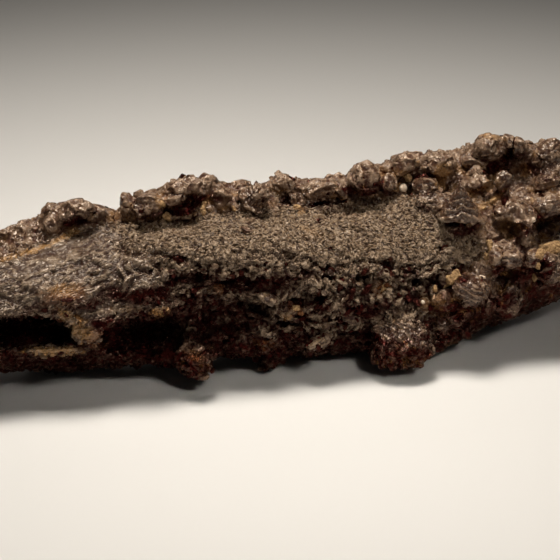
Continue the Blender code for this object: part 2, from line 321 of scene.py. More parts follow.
# name: (at, (width, height, depth), turn, sunk share, kind)
forms = {
    # the strand, from the left
    "toeBead": ((6, 238), (2.8, 3.4, 2.8), 0, 0.5, "round"),
    "toe": ((28, 233), (5.6, 4.2, 3.8), -8, 0.55, "round"),
    "toeBlock": ((52, 226), (2.8, 3.0, 3.0), 20, 0.5, "block"),
    "toeTop": ((48, 213), (2.6, 2.4, 3.0), 10, 0.6, "block"),
    "peak": ((77, 210), (5.8, 3.3, 4.2), 6, 0.5, "round"),
    "peakPebble": ((70, 222), (2.5, 1.8, 2.2), 5, 0.35, "round"),
    "peakSide": ((94, 214), (4.2, 3.4, 3.6), 14, 0.5, "round"),
    "peakEnd": ((110, 215), (1.8, 2.8, 2.4), 0, 0.5, "round"),
    "tabletPost": ((128, 206), (2.6, 4.2, 2.8), 4, 0.5, "block"),
    "tablet": ((150, 205), (4.6, 3.6, 3.4), -6, 0.45, "block"),
    "tabletSide": ((140, 211), (1.8, 3.4, 2.4), 8, 0.4, "block"),
    "massTop": ((182, 187), (6.8, 3.2, 3.6), 14, 0.5, "round"),
    "massFoot": ((184, 212), (4.8, 2.2, 3.0), 6, 0.4, "block"),
    "massBrow": ((176, 200), (4.0, 2.0, 2.8), 18, 0.5, "block"),
    "tip": ((207, 183), (3.6, 3.0, 3.4), 0, 0.5, "round"),
    "bulge": ((222, 199), (4.2, 4.6, 3.6), 0, 0.55, "round"),
    "wedge": ((255, 196), (4.8, 3.8, 3.6), 28, 0.42, "block"),
    "wedgeFoot": ((251, 206), (3.4, 1.6, 2.4), -14, 0.4, "block"),
    "midTip": ((283, 183), (3.8, 3.4, 3.6), 0, 0.5, "round"),
    "bulgeTop": ((240, 187), (3.6, 2.4, 3.0), 0, 0.5, "round"),
    "midSaddle": ((298, 183), (3.2, 2.2, 3.0), 0, 0.5, "round"),
    "midPost": ((293, 198), (1.2, 2.6, 1.8), 6, 0.4, "block"),
    "slab": ((322, 189), (8.0, 2.9, 3.2), 8, 0.42, "plate"),
    "slabEnd": ((341, 192), (2.6, 2.6, 2.8), 24, 0.4, "block"),
    "tooth": ((366, 179), (4.2, 6.0, 3.8), 10, 0.42, "block"),
    "toothBack": ((354, 182), (2.4, 4.2, 3.0), -8, 0.5, "block"),
    "shoulder": ((389, 184), (2.5, 3.6, 2.8), -6, 0.48, "round"),
    "shoulderTop": ((386, 169), (3.0, 2.2, 2.6), 12, 0.5, "block"),
    "knuckle": ((404, 163), (3.8, 3.6, 3.4), 10, 0.5, "block"),
    "saddle": ((417, 160), (3.6, 3.2, 3.2), 0, 0.5, "round"),
    "dome": ((438, 163), (6.6, 4.2, 4.0), -4, 0.55, "round"),
    # the crowd of lumps at the right
    "cup": ((426, 188), (4.8, 3.8, 3.8), 6, 0.38, "round"),
    "brow": ((474, 163), (4.6, 2.2, 2.8), -12, 0.45, "block"),
    "browFoot": ((475, 174), (2.2, 1.6, 1.4), 30, 0.66, "block"),
    "nest": ((484, 183), (2.8, 2.2, 1.6), 0, 0.66, "round"),
    "crown": ((486, 147), (4.6, 4.2, 4.0), 8, 0.5, "block"),
    "crownRight": ((506, 143), (3.2, 2.8, 3.4), 0, 0.5, "round"),
    "crownSide": ((519, 148), (2.8, 3.6, 3.4), 0, 0.5, "round"),
    "button": ((504, 181), (2.8, 3.5, 1.3), 4, 0.45, "round"),
    "overhang": ((546, 205), (4.8, 3.4, 4.2), 12, 0.32, "block"),
    "pyramid": ((459, 202), (6.9, 6.3, 3.8), 2, 0.06, "pyramid"),
    "fanTop": ((507, 210), (5.6, 3.2, 3.6), 10, 0.4, "round"),
    "fanEdge": ((523, 228), (1.4, 6.4, 3.4), 2, 0.3, "plate"),
    "fanFoot": ((503, 247), (4.4, 1.8, 2.8), -12, 0.42, "plate"),
    "smallStackSide": ((495, 258), (2.4, 3.2, 2.6), 0, 0.42, "round"),
    "lowPlate": ((487, 305), (2.8, 3.2, 3.0), -20, 0.4, "block"),
    "ribbedLump": ((470, 291), (5.6, 5.0, 4.4), -24, 0.40, "round"),
    "ribbedBall": ((549, 268), (4.6, 5.6, 4.8), 30, 0.40, "round"),
    "stackTop": ((549, 154), (5.4, 4.8, 3.8), 30, 0.52, "round"),
    "stackMiddle": ((547, 182), (4.8, 2.8, 3.4), 12, 0.50, "block"),
    "smallStack": ((510, 259), (4.2, 3.0, 3.2), 10, 0.45, "round"),
    "shell": ((532, 259), (2.6, 3.4, 2.6), -20, 0.38, "round"),
    "lowBlock": ((508, 301), (5.2, 5.0, 4.0), 40, 0.42, "block"),
    "tanLump": ((440, 300), (4.6, 3.8, 3.4), 10, 0.45, "round"),
    "tanBead": ((423, 305), (2.8, 2.8, 2.6), 0, 0.42, "round"),
    "underLump": ((455, 318), (4.6, 3.4, 3.4), 0, 0.45, "round"),
    # the lobe it rests on and the low knobs
    "lobe": ((402, 347), (10.2, 7.4, 6.4), 4, 0.5, "round"),
    "lobeCap": ((412, 328), (5.6, 3.4, 3.4), -14, 0.4, "round"),
    "lobeNose": ((382, 330), (4.0, 3.2, 3.2), 12, 0.4, "round"),
    "knob": ((195, 358), (6.0, 6.0, 5.2), 0, 0.42, "round"),
    "knobA": ((240, 344), (3.0, 3.0, 3.0), 0, 0.4, "round"),
    "knobB": ((265, 337), (3.8, 3.4, 3.2), -8, 0.36, "round"),
    "knobC": ((272, 357), (3.4, 2.8, 3.0), 0, 0.42, "round"),
    "flake": ((317, 343), (4.6, 1.7, 2.4), 24, 0.3, "plate"),
    "flakeRoot": ((307, 348), (2.0, 2.0, 2.0), 0, 0.4, "block"),
    "shelf": ((318, 324), (8.0, 1.2, 2.6), 10, 0.35, "plate"),
    "shelfEnd": ((352, 317), (3.4, 2.0, 2.8), -20, 0.4, "round"),
    "bellyBead": ((268, 298), (3.4, 1.5, 2.4), -28, 0.35, "plate"),
    # the left-hand skin and the rim of the hollow
    "post": ((88, 330), (5.0, 4.4, 2.6), 40, 0.72, "plate"),
    "sill": ((54, 350), (9.4, 1.2, 3.6), 2, 0.40, "plate"),
    "lipKnob": ((160, 309), (3.6, 2.2, 3.0), 8, 0.35, "round"),
    "ochreRoll": ((68, 300), (5.6, 1.9, 2.2), -14, 0.5, "round"),
}

# forms without a crystal of their own
keptPlain = {"post", "sill", "lipKnob", "ochreRoll", "underLump", "flakeRoot", "lobe", "lobeCap", "lobeNose",
             "knob", "knobA", "knobB", "knobC", "shelf", "fanEdge", "midSaddle", "saddle", "toeTop"}

# hollows cut into it: (at, (width, height, depth), turn, depth of the middle below the surface, kind)
hollows = {
    "lipHollow": ((26, 331), (15.0, 5.4, 11.4), -2, -4.2, "plate"),
    "lipHollowEnd": ((60, 333), (5.4, 4.6, 9.0), 8, -2.0, "round"),
    "lipUndercut": ((124, 335), (11.0, 6.8, 8.0), 0, 1.0, "round"),
    "lipUndercutRight": ((157, 334), (10.5, 7.8, 8.0), 0, 0.8, "round"),
    "bellyUndercut": ((228, 322), (12.0, 7.0, 8.0), -8, -0.6, "round"),
    "bellyHollow": ((254, 307), (7.6, 3.2, 5.0), -22, 0.4, "round"),
    "bellyEnd": ((286, 324), (4.6, 1.6, 4.0), -4, 0.4, "round"),
    "kneeUndercut": ((345, 336), (8.4, 2.6, 4.4), 10, 0.3, "round"),
    "lowGapA": ((372, 278), (7.0, 1.8, 3.2), 4, 0.2, "round"),
    "lowGapB": ((330, 277), (3.4, 1.4, 3.0), -18, 0.2, "round"),
    "lowGapC": ((240, 284), (6.4, 1.9, 3.6), -8, 0.3, "round"),
    "lowGapD": ((196, 281), (3.6, 1.6, 3.0), 10, 0.2, "round"),
    "lowGapE": ((420, 282), (4.4, 1.8, 3.2), 0, 0.3, "round"),
    "lowGapF": ((312, 300), (7.0, 1.8, 3.6), 8, 0.2, "round"),
    "crustPitA": ((247, 256), (0.9, 0.8, 1.6), 20, 0.1, "round"),
    "crustPitB": ((287, 254), (1.4, 0.7, 1.6), -30, 0.1, "round"),
    "crustPitC": ((331, 249), (1.6, 0.7, 1.6), 0, 0.1, "round"),
    "crustPitD": ((381, 240), (0.9, 0.7, 1.6), 0, 0.1, "round"),
    "crustPitE": ((442, 249), (1.8, 1.3, 2.2), 30, 0.2, "round"),
    "crustPitF": ((474, 243), (1.8, 1.1, 2.0), 10, 0.2, "round"),
    "crustPitG": ((263, 266), (1.3, 0.9, 1.8), 0, 0.1, "round"),
    "crustPitH": ((342, 243), (1.5, 0.8, 1.6), 10, 0.1, "round"),
    "massPit": ((191, 197), (3.4, 1.7, 2.6), 22, 0.3, "round"),
    "tabletPit": ((157, 213), (1.8, 1.7, 2.4), 0, 0.3, "round"),
    "tipPit": ((285, 200), (2.2, 1.4, 2.6), 0, 0.2, "round"),
    "slabShade": ((330, 202), (7.0, 1.0, 3.0), 14, 0.2, "round"),
    "toothShade": ((368, 184), (1.6, 1.3, 1.6), 0, 0.2, "round"),
    "cupPit": ((428, 180), (2.6, 1.5, 2.6), 4, 0.2, "round"),
    "cupSide": ((418, 193), (1.5, 1.8, 1.8), 30, 0.2, "round"),
    "knucklePit": ((403, 173), (1.9, 1.0, 1.8), -10, 0.2, "round"),
    "browPit": ((467, 172), (1.7, 1.3, 2.0), 0, 0.3, "round"),
    "crownPit": ((514, 149), (2.6, 2.4, 2.8), 0, 0.4, "round"),
    "crownSlit": ((490, 155), (2.6, 0.7, 1.6), -8, 0.2, "round"),
    "pyramidShade": ((458, 222), (6.0, 1.1, 2.6), 2, 0.3, "round"),
    "fanDish": ((505, 230), (5.2, 3.6, 3.4), -14, 0.15, "round"),
    "cave": ((548, 229), (5.4, 2.7, 6.0), 6, 0.5, "round"),
    "caveFloor": ((545, 240), (3.6, 1.4, 3.0), 4, 0.3, "round"),
    "stackGap": ((508, 276), (5.6, 2.4, 4.0), 10, 0.4, "round"),
    "blockGap": ((530, 288), (2.2, 2.4, 2.6), 0, 0.3, "round"),
    "ballGap": ((537, 282), (1.3, 3.6, 2.6), -6, 0.2, "round"),
    "lumpGap": ((448, 284), (2.4, 1.4, 2.6), 0, 0.3, "round"),
    "lobeGap": ((366, 330), (2.6, 3.0, 3.4), 20, 0.2, "round"),
    "undercutJoin": ((194, 329), (7.0, 5.6, 8.0), 0, -0.8, "round"),
    "lipArch": ((33, 324), (6.4, 3.0, 9.0), 0, -2.4, "round"),
}


def blockShape(bm, matrix):
    made = bmesh.ops.create_cube(bm, size=1.8, matrix=matrix)
    edges = list(dict.fromkeys(e for v in made["verts"] for e in v.link_edges))
    size = min(matrix.to_scale())
    bevelled = bmesh.ops.bevel(bm, geom=edges, offset=0.42 * size, affect="EDGES", segments=2,
                               profile=0.5, material=-1)
    return bevelled["verts"]


def pyramidShape(bm, matrix):
    # a flat face looks at the camera and leans back towards the top
    made = bmesh.ops.create_cone(bm, cap_ends=True, segments=4, radius1=1.25, radius2=0.10, depth=2.0)
    made = made["verts"]
    upright = Matrix.Rotation(math.radians(-90), 4, "X") @ Matrix.Rotation(math.radians(45), 4, "Z")
    bmesh.ops.transform(bm, matrix=matrix @ upright, verts=made)
    return made


def roundShape(bm, matrix):
    return bmesh.ops.create_icosphere(bm, subdivisions=3, radius=1.0, matrix=matrix)["verts"]


def plateShape(bm, matrix):
    made = bmesh.ops.create_icosphere(bm, subdivisions=3, radius=1.0)["verts"]
    for v in made:
        v.co = Vector([math.copysign(abs(c) ** 0.6, c) for c in v.co])
    bmesh.ops.transform(bm, matrix=matrix, verts=made)
    return made


shapes = {"pyramid": pyramidShape, "round": roundShape, "block": blockShape, "plate": plateShape}


def facingMatrix(middle, size, turn):
    # a frame that lies square to the camera, turned anticlockwise about the line of sight
    axes = Matrix((viewRight, viewUp, viewBack)).transposed()
    spin = Matrix.Rotation(math.radians(turn), 3, "Z")
    half = Matrix.Diagonal(Vector(size) * 0.5)
    matrix = (axes @ spin @ half).to_4x4()
    matrix.translation = middle
    return matrix


def layerAxis(turn, lean):
    turned, leaned = math.radians(turn), math.radians(lean)
    up = viewUp * math.cos(turned) - viewRight * math.sin(turned)
    return up * math.cos(leaned) + viewBack * math.sin(leaned)


def unevenVerts(verts, depth, size, seed):
    # fsum gives the same middle whatever order the corners come in
    middle = Vector([math.fsum(v.co[k] for v in verts) / len(verts) for k in range(3)])
    shift = Vector((seed * 5.1, seed * 2.7, seed * 8.3))
    for v in verts:
        v.co += (v.co - middle).normalized() * depth * noise.noise(v.co / size + shift)


unevenness = {"depth": 0.13, "size": 0.55}  # of the forms, as shares of their smaller side


def shapesMesh(table, tree, cut):
    # returns the mesh and the middle of each shape
    bm = bmesh.new()
    middles = {}
    for number, (name, entry) in enumerate(table.items()):
        at, size, turn, sunk = entry[:4]
        if not cut and name not in keptPlain:
            under = body["underPeak"] if entry[4] == "pyramid" else body["underCrystals"]
            size = tuple(length * under for length in size)
        place, _ = castFrom(tree, at)
        if place is None:
            print("nothing at", name, at)
            continue
        back = Vector(viewBack)
        middle = place - back * sunk if cut else place + back * size[2] * (0.5 - sunk)
        makeShape = shapes[entry[4]]
        verts = makeShape(bm, facingMatrix(middle, size, turn))
        side = min(size[:2])
        seed = number + (300 if cut else 0)
        unevenVerts(verts, unevenness["depth"] * side, unevenness["size"] * side, seed)
        middles[name] = middle
    mesh = bpy.data.meshes.new("shapes")
    # the shortest diagonal doesn't depend on the order of the corners
    bmesh.ops.triangulate(bm, faces=bm.faces[:], quad_method="SHORT_EDGE")
    bmesh.ops.transform(bm, matrix=Matrix.Scale(mm, 4), verts=bm.verts)
    bmesh.ops.recalc_face_normals(bm, faces=bm.faces)
    bm.to_mesh(mesh)
    bm.free()
    return mesh, middles


def joinInto(obj, mesh):
    bm = bmesh.new()
    bm.from_mesh(obj.data)
    bm.from_mesh(mesh)
    bm.to_mesh(obj.data)
    bm.free()
    bpy.data.meshes.remove(mesh)


def sinkLumps(stone):
    # makes room for the forms, which are set on top
    points, normals = pointsOf(stone.data), normalsOf(stone.data)
    zone = zoneWeights(points, normals)
    points -= normals * (body["roomForForms"] * zone["lumps"] * zone["seen"])[:, None]
    movePoints(stone.data, points)


sinkLumps(stone)
softTree = treeOf(stone)
formsMesh, formMiddles = shapesMesh(forms, softTree, cut=False)
joinInto(stone, formsMesh)
fuse(stone, body["formVoxel"])
print("forms fused", triangleCount(stone.data), "triangles")

# pits between the knobs of the lower crust, scattered
pits = {
    "spacing": 2.9,
    "halfLength": (0.9, 2.3),
    "halfHeight": (0.32, 0.60),
    "halfDepth": (0.8, 1.5),
    "slope": 12.0,  # they lie along the stone, rising to the right
    "slopeSpread": 28.0,
    "wobble": 0.18,
    "tries": 5000,
    "seed": 17,
}


def beadShape(bm):
    bmesh.ops.create_icosphere(bm, subdivisions=2, radius=1.0)


def drawSizes(dice, settings, keys, count):
    return np.stack([dice.uniform(*settings[key], count) for key in keys], axis=1)


def pitsMesh(stone):
    points, normals, triangles = surfaceOf(stone)
    zone = zoneWeights(points, normals)
    dice = np.random.default_rng(pits["seed"])
    spacing = np.full(len(points), pits["spacing"])
    spots, faces, _ = scatter(points, triangles, zone["pits"] + 0.001, spacing, dice, pits["tries"])
    count = len(spots)
    outward = normals[triangles[faces][:, 0]]
    slopes = np.radians(dice.normal(pits["slope"], pits["slopeSpread"], count))
    alongs = np.cos(slopes)[:, None] * viewRight + np.sin(slopes)[:, None] * viewUp
    sizes = drawSizes(dice, pits, ("halfLength", "halfHeight", "halfDepth"), count)
    turns = turnedFrames(outward, alongs)
    print(count, "pits")
    return joinedCopies("pits", templateShape(beadShape), spots, turns, sizes, pits["wobble"], dice)


def cutHollows(stone):
    hollowsMesh, _ = shapesMesh(hollows, treeOf(stone), cut=True)
    cutter = newObject("cutter", hollowsMesh)
    joinInto(cutter, pitsMesh(stone))
    fuse(cutter, body["formVoxel"])
    cut = stone.modifiers.new("hollows", "BOOLEAN")
    cut.operation = "DIFFERENCE"
    cut.object = cutter
    bake(stone)
    bpy.data.objects.remove(cutter)


cutHollows(stone)

fuse(stone, body["fineVoxel"] * (1.0))
soften(stone, 1)
print("hollows cut", triangleCount(stone.data), "triangles")

# clumps of crystals: each has its own direction of layers
clumpLook = {
    "spacing": 3.0,
    "ribSpacing": (0.6, 1.05),
    "ribDepth": (0.03, 0.12),
    "fineSpacing": (0.55, 0.85),
    "fineShare": (0.0, 0.5),
    "tries": 4000,
    "seed": 41,
}

# form: (turn of its layers, lean of them towards the camera, depth of the layering, share of fine layers)
layered = {
    "toe": (10, 20, 0.02, 0.2), "bulge": (0, 30, 0.02, 0.0), "peakPebble": (5, 20, 0.02, 0.0),
    "tip": (0, 10, 0.04, 0.1), "peak": (20, 20, 0.03, 0.2), "peakSide": (-70, 20, 0.03, 0.3),
    "tablet": (-4, 25, 0.06, 0.5), "slab": (12, 35, 0.05, 0.3), "wedge": (-35, 20, 0.08, 0.9),
    "pyramid": (2, 20, 0.02, 0.3), "dome": (-4, 30, 0.04, 0.2), "brow": (-12, 25, 0.08, 0.6),
    "crown": (8, 30, 0.05, 0.3), "crownSide": (60, 10, 0.08, 0.6), "button": (70, 10, 0.04, 0.3),
    "overhang": (14, 25, 0.08, 0.4), "fanTop": (14, 30, 0.04, 0.4), "fanFoot": (-14, 25, 0.08, 0.8),
    "fanEdge": (88, 0, 0.04, 0.4), "lowPlate": (-60, 10, 0.10, 0.6), "lobe": (-38, 25, 0.14, 1.0),
    "lobeCap": (-24, 30, 0.14, 1.0), "lobeNose": (-30, 30, 0.14, 1.0), "knob": (30, 30, 0.10, 0.8),
    "post": (40, 20, 0.03, 0.2), "flake": (24, 30, 0.05, 0.8), "knobB": (0, 30, 0.08, 0.9),
    "shelf": (10, 30, 0.05, 0.8),
}


def gatherClumps(points, triangles, zone):
    drawn = ("ribSpacing", "ribDepth", "fineSpacing", "fineShare")
    dice = np.random.default_rng(clumpLook["seed"])
    entries = []
    for name, middle in formMiddles.items():
        anyLook = (dice.uniform(-60, 60), 20, dice.uniform(*clumpLook["ribDepth"]), dice.uniform(0.0, 0.25))
        turn, lean, depth, fine = layered.get(name, anyLook)
        spacing = dice.uniform(*clumpLook["ribSpacing"])
        fineSpacing = dice.uniform(*clumpLook["fineSpacing"])
        entries.append((middle, layerAxis(turn, lean), spacing, depth, fineSpacing, fine))
    free = zone["lumps"] * (1.02 - zone["seen"])
    spacing = np.full(len(points), clumpLook["spacing"])
    spots, _, _ = scatter(points, triangles, free + 0.001, spacing, dice, clumpLook["tries"])
    for spot in spots:
        axis = dice.normal(size=3)
        axis /= np.linalg.norm(axis)
        entries.append((spot, axis, *(dice.uniform(*clumpLook[key]) for key in drawn)))
    middles, axes, *rest = zip(*entries)
    clumps = {"middles": np.array([tuple(v) for v in middles]), "axes": np.array(axes)}
    clumps.update((key, np.array(values)) for key, values in zip(drawn, rest))
    return clumps


def nearestOf(spots, points):
    tree = KDTree(len(spots))
    for number, spot in enumerate(spots):
        tree.insert(spot, number)
    tree.balance()
    return np.array([tree.find(point)[1] for point in points.tolist()])


# broken faces of the lumps: (spacing of the cells, share of the way to the plane, most, tilt, seed)
brokenFaces = {
    "large": (2.4, 0.78, 0.45, 0.17, 51),
    "small": (1.2, 0.75, 0.18, 0.16, 52),
}


def summedByCell(cell, values, cells):
    return np.stack([np.bincount(cell, values[:, k], cells) for k in range(3)], axis=1)


def breakFaces(obj, spacing, share, most, tilt, seed):
    points, normals, triangles = surfaceOf(obj)
    zone = zoneWeights(points, normals)
    dice = np.random.default_rng(seed)
    spots, _, _ = scatter(points, triangles, zone["lumps"] + 0.02, np.full(len(points), spacing), dice,
                          int(90000 / spacing))
    cell = nearestOf(spots, points)
    count = np.maximum(np.bincount(cell, minlength=len(spots)), 1)
    middle = summedByCell(cell, points, len(spots)) / count[:, None]
    facing = summedByCell(cell, normals, len(spots))
    facing /= np.linalg.norm(facing, axis=1)[:, None] + 1e-9
    facing += dice.normal(0, tilt, facing.shape)
    facing /= np.linalg.norm(facing, axis=1)[:, None]
    off = ((points - middle[cell]) * facing[cell]).sum(axis=1)
    move = -np.clip(off * share, -most, most) * zone["lumps"]
    movePoints(obj.data, points + facing[cell] * move[:, None])


for settings in brokenFaces.values():
    breakFaces(stone, *settings)
print("faces broken")

# lines that can be followed on the picture: (points, width in pixels, height; below 0 is a groove)
lines = {
    "seamGroove": ([(0, 259), (20, 253), (40, 247), (60, 238), (75, 231)], 1.8, -0.32),
    "plateLowerEdge": ([(18, 281), (30, 280), (45, 273), (62, 267), (80, 263), (98, 263)], 2.2, -0.45),
    "plateCrest": ([(17, 265), (16, 272), (20, 278), (32, 276), (46, 269), (62, 263), (80, 258)], 1.4, 0.12),
    "crestA": ([(62, 266), (68, 258), (76, 252)], 1.5, 0.31),
    "crestB": ([(88, 248), (94, 243), (102, 244)], 1.5, 0.29),
    "crestC": ([(99, 254), (104, 245)], 1.5, 0.29),
    "crestD": ([(76, 262), (84, 258), (92, 257), (100, 261)], 1.6, 0.34),
    "foldA": ([(112, 300), (121, 292), (128, 284), (130, 278)], 2.3, 1.0),
    "foldB": ([(117, 304), (125, 296), (132, 288)], 2.0, 0.65),
    "foldC": ([(129, 283), (124, 274), (118, 268), (110, 266)], 2.3, 0.75),
    "foldD": ([(128, 268), (131, 262), (140, 264), (153, 270)], 2.6, 0.85),
    "foldE": ([(152, 276), (154, 288), (160, 297), (163, 305)], 2.4, 0.85),
    "foldF": ([(161, 262), (164, 274), (161, 290)], 2.3, 0.8),
    "foldG": ([(136, 299), (147, 297), (158, 294)], 2.2, 0.7),
    "foldH": ([(96, 262), (104, 266), (112, 264), (118, 256)], 2.0, 0.45),
    "gapA": ([(136, 268), (145, 270), (152, 274)], 2.6, -0.93),
    "gapB": ([(153, 279), (157, 285), (158, 291)], 3.0, -1.2),
    "gapC": ([(94, 286), (102, 282), (110, 280)], 2.2, -0.78),
    "gapD": ([(74, 289), (82, 286), (88, 284)], 2.0, -0.64),
    "gapE": ([(116, 300), (125, 300), (135, 294)], 2.2, -0.75),
    "gapF": ([(80, 277), (88, 274), (98, 276)], 1.8, -0.52),
    "gapG": ([(104, 290), (110, 287), (116, 284)], 1.8, -0.59),
    "ledgeCrest": ([(117, 238), (124, 243), (134, 246), (146, 245), (158, 249), (170, 248), (182, 246),
                    (192, 252), (206, 257)], 2.2, 0.44),
    "ledgeShade": ([(121, 249), (130, 251), (142, 252), (152, 253), (166, 254), (178, 257), (190, 262),
                    (204, 268)], 3.2, -1.25),
    "strandFootA": ([(120, 222), (136, 222), (150, 221)], 1.8, -0.35),
    "strandFootB": ([(172, 222), (186, 221), (198, 216)], 2.0, -0.45),
    "strandFootC": ([(206, 212), (222, 212), (240, 210), (252, 211), (262, 206)], 2.0, -0.40),
    "slabFoot": ([(300, 207), (314, 205), (330, 203), (346, 199), (352, 194)], 2.4, -0.60),
    "toothFoot": ([(356, 202), (368, 203), (380, 199), (388, 194)], 2.2, -0.45),
    "cupFoot": ([(410, 196), (420, 203), (436, 204)], 2.2, -0.40),
    "pyramidFoot": ([(440, 214), (448, 221), (460, 223), (474, 219)], 2.6, -0.60),
    "lowLayer": ([(170, 286), (186, 279), (206, 272), (222, 270)], 2.4, -0.6),
    "midCrackA": ([(284, 252), (296, 256), (306, 257), (320, 263)], 1.6, -0.56),
    "midCrackB": ([(232, 276), (246, 278), (258, 279), (266, 282)], 2.4, -0.9),
    "midCrackC": ([(340, 266), (356, 261), (372, 261), (384, 264)], 2.6, -0.9),
    "midCrackD": ([(388, 268), (402, 266), (420, 267), (436, 262)], 2.2, -0.75),
    "fanRim": ([(491, 222), (500, 217), (512, 216), (524, 222)], 2.0, 0.40),
    "fanWall": ([(529, 200), (530, 216), (529, 232), (529, 244)], 1.8, 0.40),
    "fanRay": ([(496, 236), (510, 236), (526, 230)], 1.6, 0.26),
    "shellRing": ([(524, 254), (530, 249), (537, 253), (538, 262)], 1.6, 0.30),
    "streak": ([(480, 209), (490, 202), (500, 195)], 2.4, 0.28),
    "ballRibA": ([(540, 261), (548, 254), (558, 256)], 1.8, 0.32),
    "ballRibB": ([(540, 269), (549, 261), (560, 264)], 1.8, 0.32),
    "ballRibC": ([(541, 277), (550, 269), (561, 272)], 1.8, 0.32),
    "ballRibD": ([(546, 284), (553, 277), (561, 280)], 1.8, 0.32),
    "lumpRibA": ([(455, 281), (466, 290), (474, 303)], 1.8, 0.34),
    "lumpRibB": ([(461, 278), (472, 286), (481, 299)], 1.8, 0.34),
    "lumpRibC": ([(468, 276), (478, 283), (486, 293)], 1.8, 0.34),
    "lumpRibD": ([(454, 288), (461, 296), (467, 306)], 1.8, 0.34),
    "blockEdgeA": ([(489, 312), (499, 300), (512, 290)], 1.8, 0.34),
    "blockEdgeB": ([(503, 317), (513, 303), (525, 293)], 1.8, 0.34),
    "blockEdgeC": ([(495, 296), (507, 304), (518, 312)], 1.6, 0.26),
    "fanRayB": ([(497, 246), (508, 236), (521, 226)], 1.6, 0.30),
    "fanRayC": ([(492, 238), (504, 229), (518, 221)], 1.6, 0.26),
    "fanRayD": ([(505, 248), (514, 241), (526, 238)], 1.6, 0.26),
    "lobeRibA": ([(375, 329), (386, 336), (393, 347)], 1.8, 0.32),
    "lobeRibB": ([(383, 323), (395, 331), (402, 343)], 1.8, 0.32),
    "lobeRibC": ([(392, 319), (405, 329), (411, 341)], 1.8, 0.32),
    "lobeRibD": ([(401, 317), (414, 327), (420, 338)], 1.8, 0.32),
    "lobeRibE": ([(410, 318), (420, 325), (428, 334)], 1.8, 0.32),
    "wedgeRibA": ([(246, 206), (250, 195), (258, 186)], 1.8, 0.30),
    "wedgeRibB": ([(253, 208), (259, 197), (268, 188)], 1.8, 0.30),
    "wedgeRibC": ([(262, 206), (267, 197), (273, 192)], 1.6, 0.26),
}


def distanceToLine(across, down, line):
    near = np.full(len(across), 1e9)
    for (x0, y0), (x1, y1) in zip(line, line[1:]):
        dx, dy = x1 - x0, y1 - y0
        share = np.clip(((across - x0) * dx + (down - y0) * dy) / (dx * dx + dy * dy), 0, 1)
        near = np.minimum(near, np.hypot(across - x0 - share * dx, down - y0 - share * dy))
    return near


# below this line, on the side of the camera, the colour gets painted shade
underLine = [(0, 318), (30, 312), (60, 316), (80, 318), (100, 316), (165, 314), (180, 298), (200, 292),
             (240, 300), (262, 314), (285, 332), (345, 336), (362, 345), (430, 344), (440, 330), (470, 317),
             (500, 320), (530, 312), (560, 296)]

relief = {
    "skinDepth": 0.34, "skinAlong": 3.2, "skinAcross": 1.25,
    "bedDepth": 0.45,  # how far the bed of the lower knobs lies back
    "swellDepth": 0.45, "swellSize": 3.4,
    "crustDepth": 0.25, "crustSize": 2.4,
    "fineDepth": 0.05, "fineSize": 0.45,
    "floretSize": 1.5, "floretDepth": (0.40, 1.25), "foldDepth": 0.25,
    "lineWobble": 2.2, "wobbleSize": 1.6,
    "layerParts": (0.75, 0.25),  # of a layer: the slow rise, and where it falls back
    "layerBend": (0.9, 1.5),  # of the layers: how far, in layers, and its size in mm
    "lowLumps": (0, 14),  # pixels below the line of the underside where the lumps grow rough
    "lowLumpDepth": 0.7,  # as a share of the deepest florets
    "floretShape": (2.0, -0.6, 0.5),  # steepness, floor and top
    "plateCalm": (0.8, 0.75),  # how far the plate is spared the wrinkles and the roughness
    "lineShares": (0.75, 1.1),  # usual strength of the named lines, and how it varies along them
    "lineRange": (0.1, 1.3), "lineBreaks": 1.9,
}


def wrinkle(p, flow):
    # thin crests along the flow, as on dried skin
    warp = noise.noise_vector(p / 5.0)
    along = p.dot(flow[0]) / relief["skinAlong"] + 0.4 * warp.x
    across = p.dot(flow[1]) / relief["skinAcross"] + 1.0 * warp.y
    deep = p.dot(flow[2]) / 3.0
    crest = 1 - abs(noise.noise(Vector((along, across, deep)))) * 2.6
    fine = 1 - abs(noise.noise(Vector((along * 2.3, across * 2.1, deep * 2)) + Vector((9, 4, 7)))) * 2.6
    return max(crest, -0.6) ** 3 * 0.8 + max(fine, -0.6) ** 3 * 0.4 - 0.25


skinSlope = math.radians(26)
skinFlow = (
    Vector(viewRight * math.cos(skinSlope) + viewUp * math.sin(skinSlope)),
    Vector(viewUp * math.cos(skinSlope) - viewRight * math.sin(skinSlope)),
    Vector(viewBack),
)


# the smooth plate on the left, in pixels; it rises to the right by its slope
smoothPlate = {"at": (58, 256), "halves": (44, 15), "slope": 0.42, "edge": (1.15, 0.75)}


def plateShare(points):
    across, down = onPicture(points)
    middle, halves = smoothPlate["at"], smoothPlate["halves"]
    right = across - middle[0]
    below = down - middle[1] + smoothPlate["slope"] * right
    return smoothStep(*smoothPlate["edge"], np.hypot(right / halves[0], below / halves[1]))


def alongLayers(clumps, points):
    # the clump of each point, and its place across the layers in millimetres
    clump = nearestOf(clumps["middles"], points)
    return clump, ((points - clumps["middles"][clump]) * clumps["axes"][clump]).sum(axis=1)


def layerStep(place, rise, fall):
    # rises from 0 to 1 over each layer and falls back to 0 at its end
    saw = place % 1.0
    return np.minimum(saw / rise, (1 - saw) / fall)


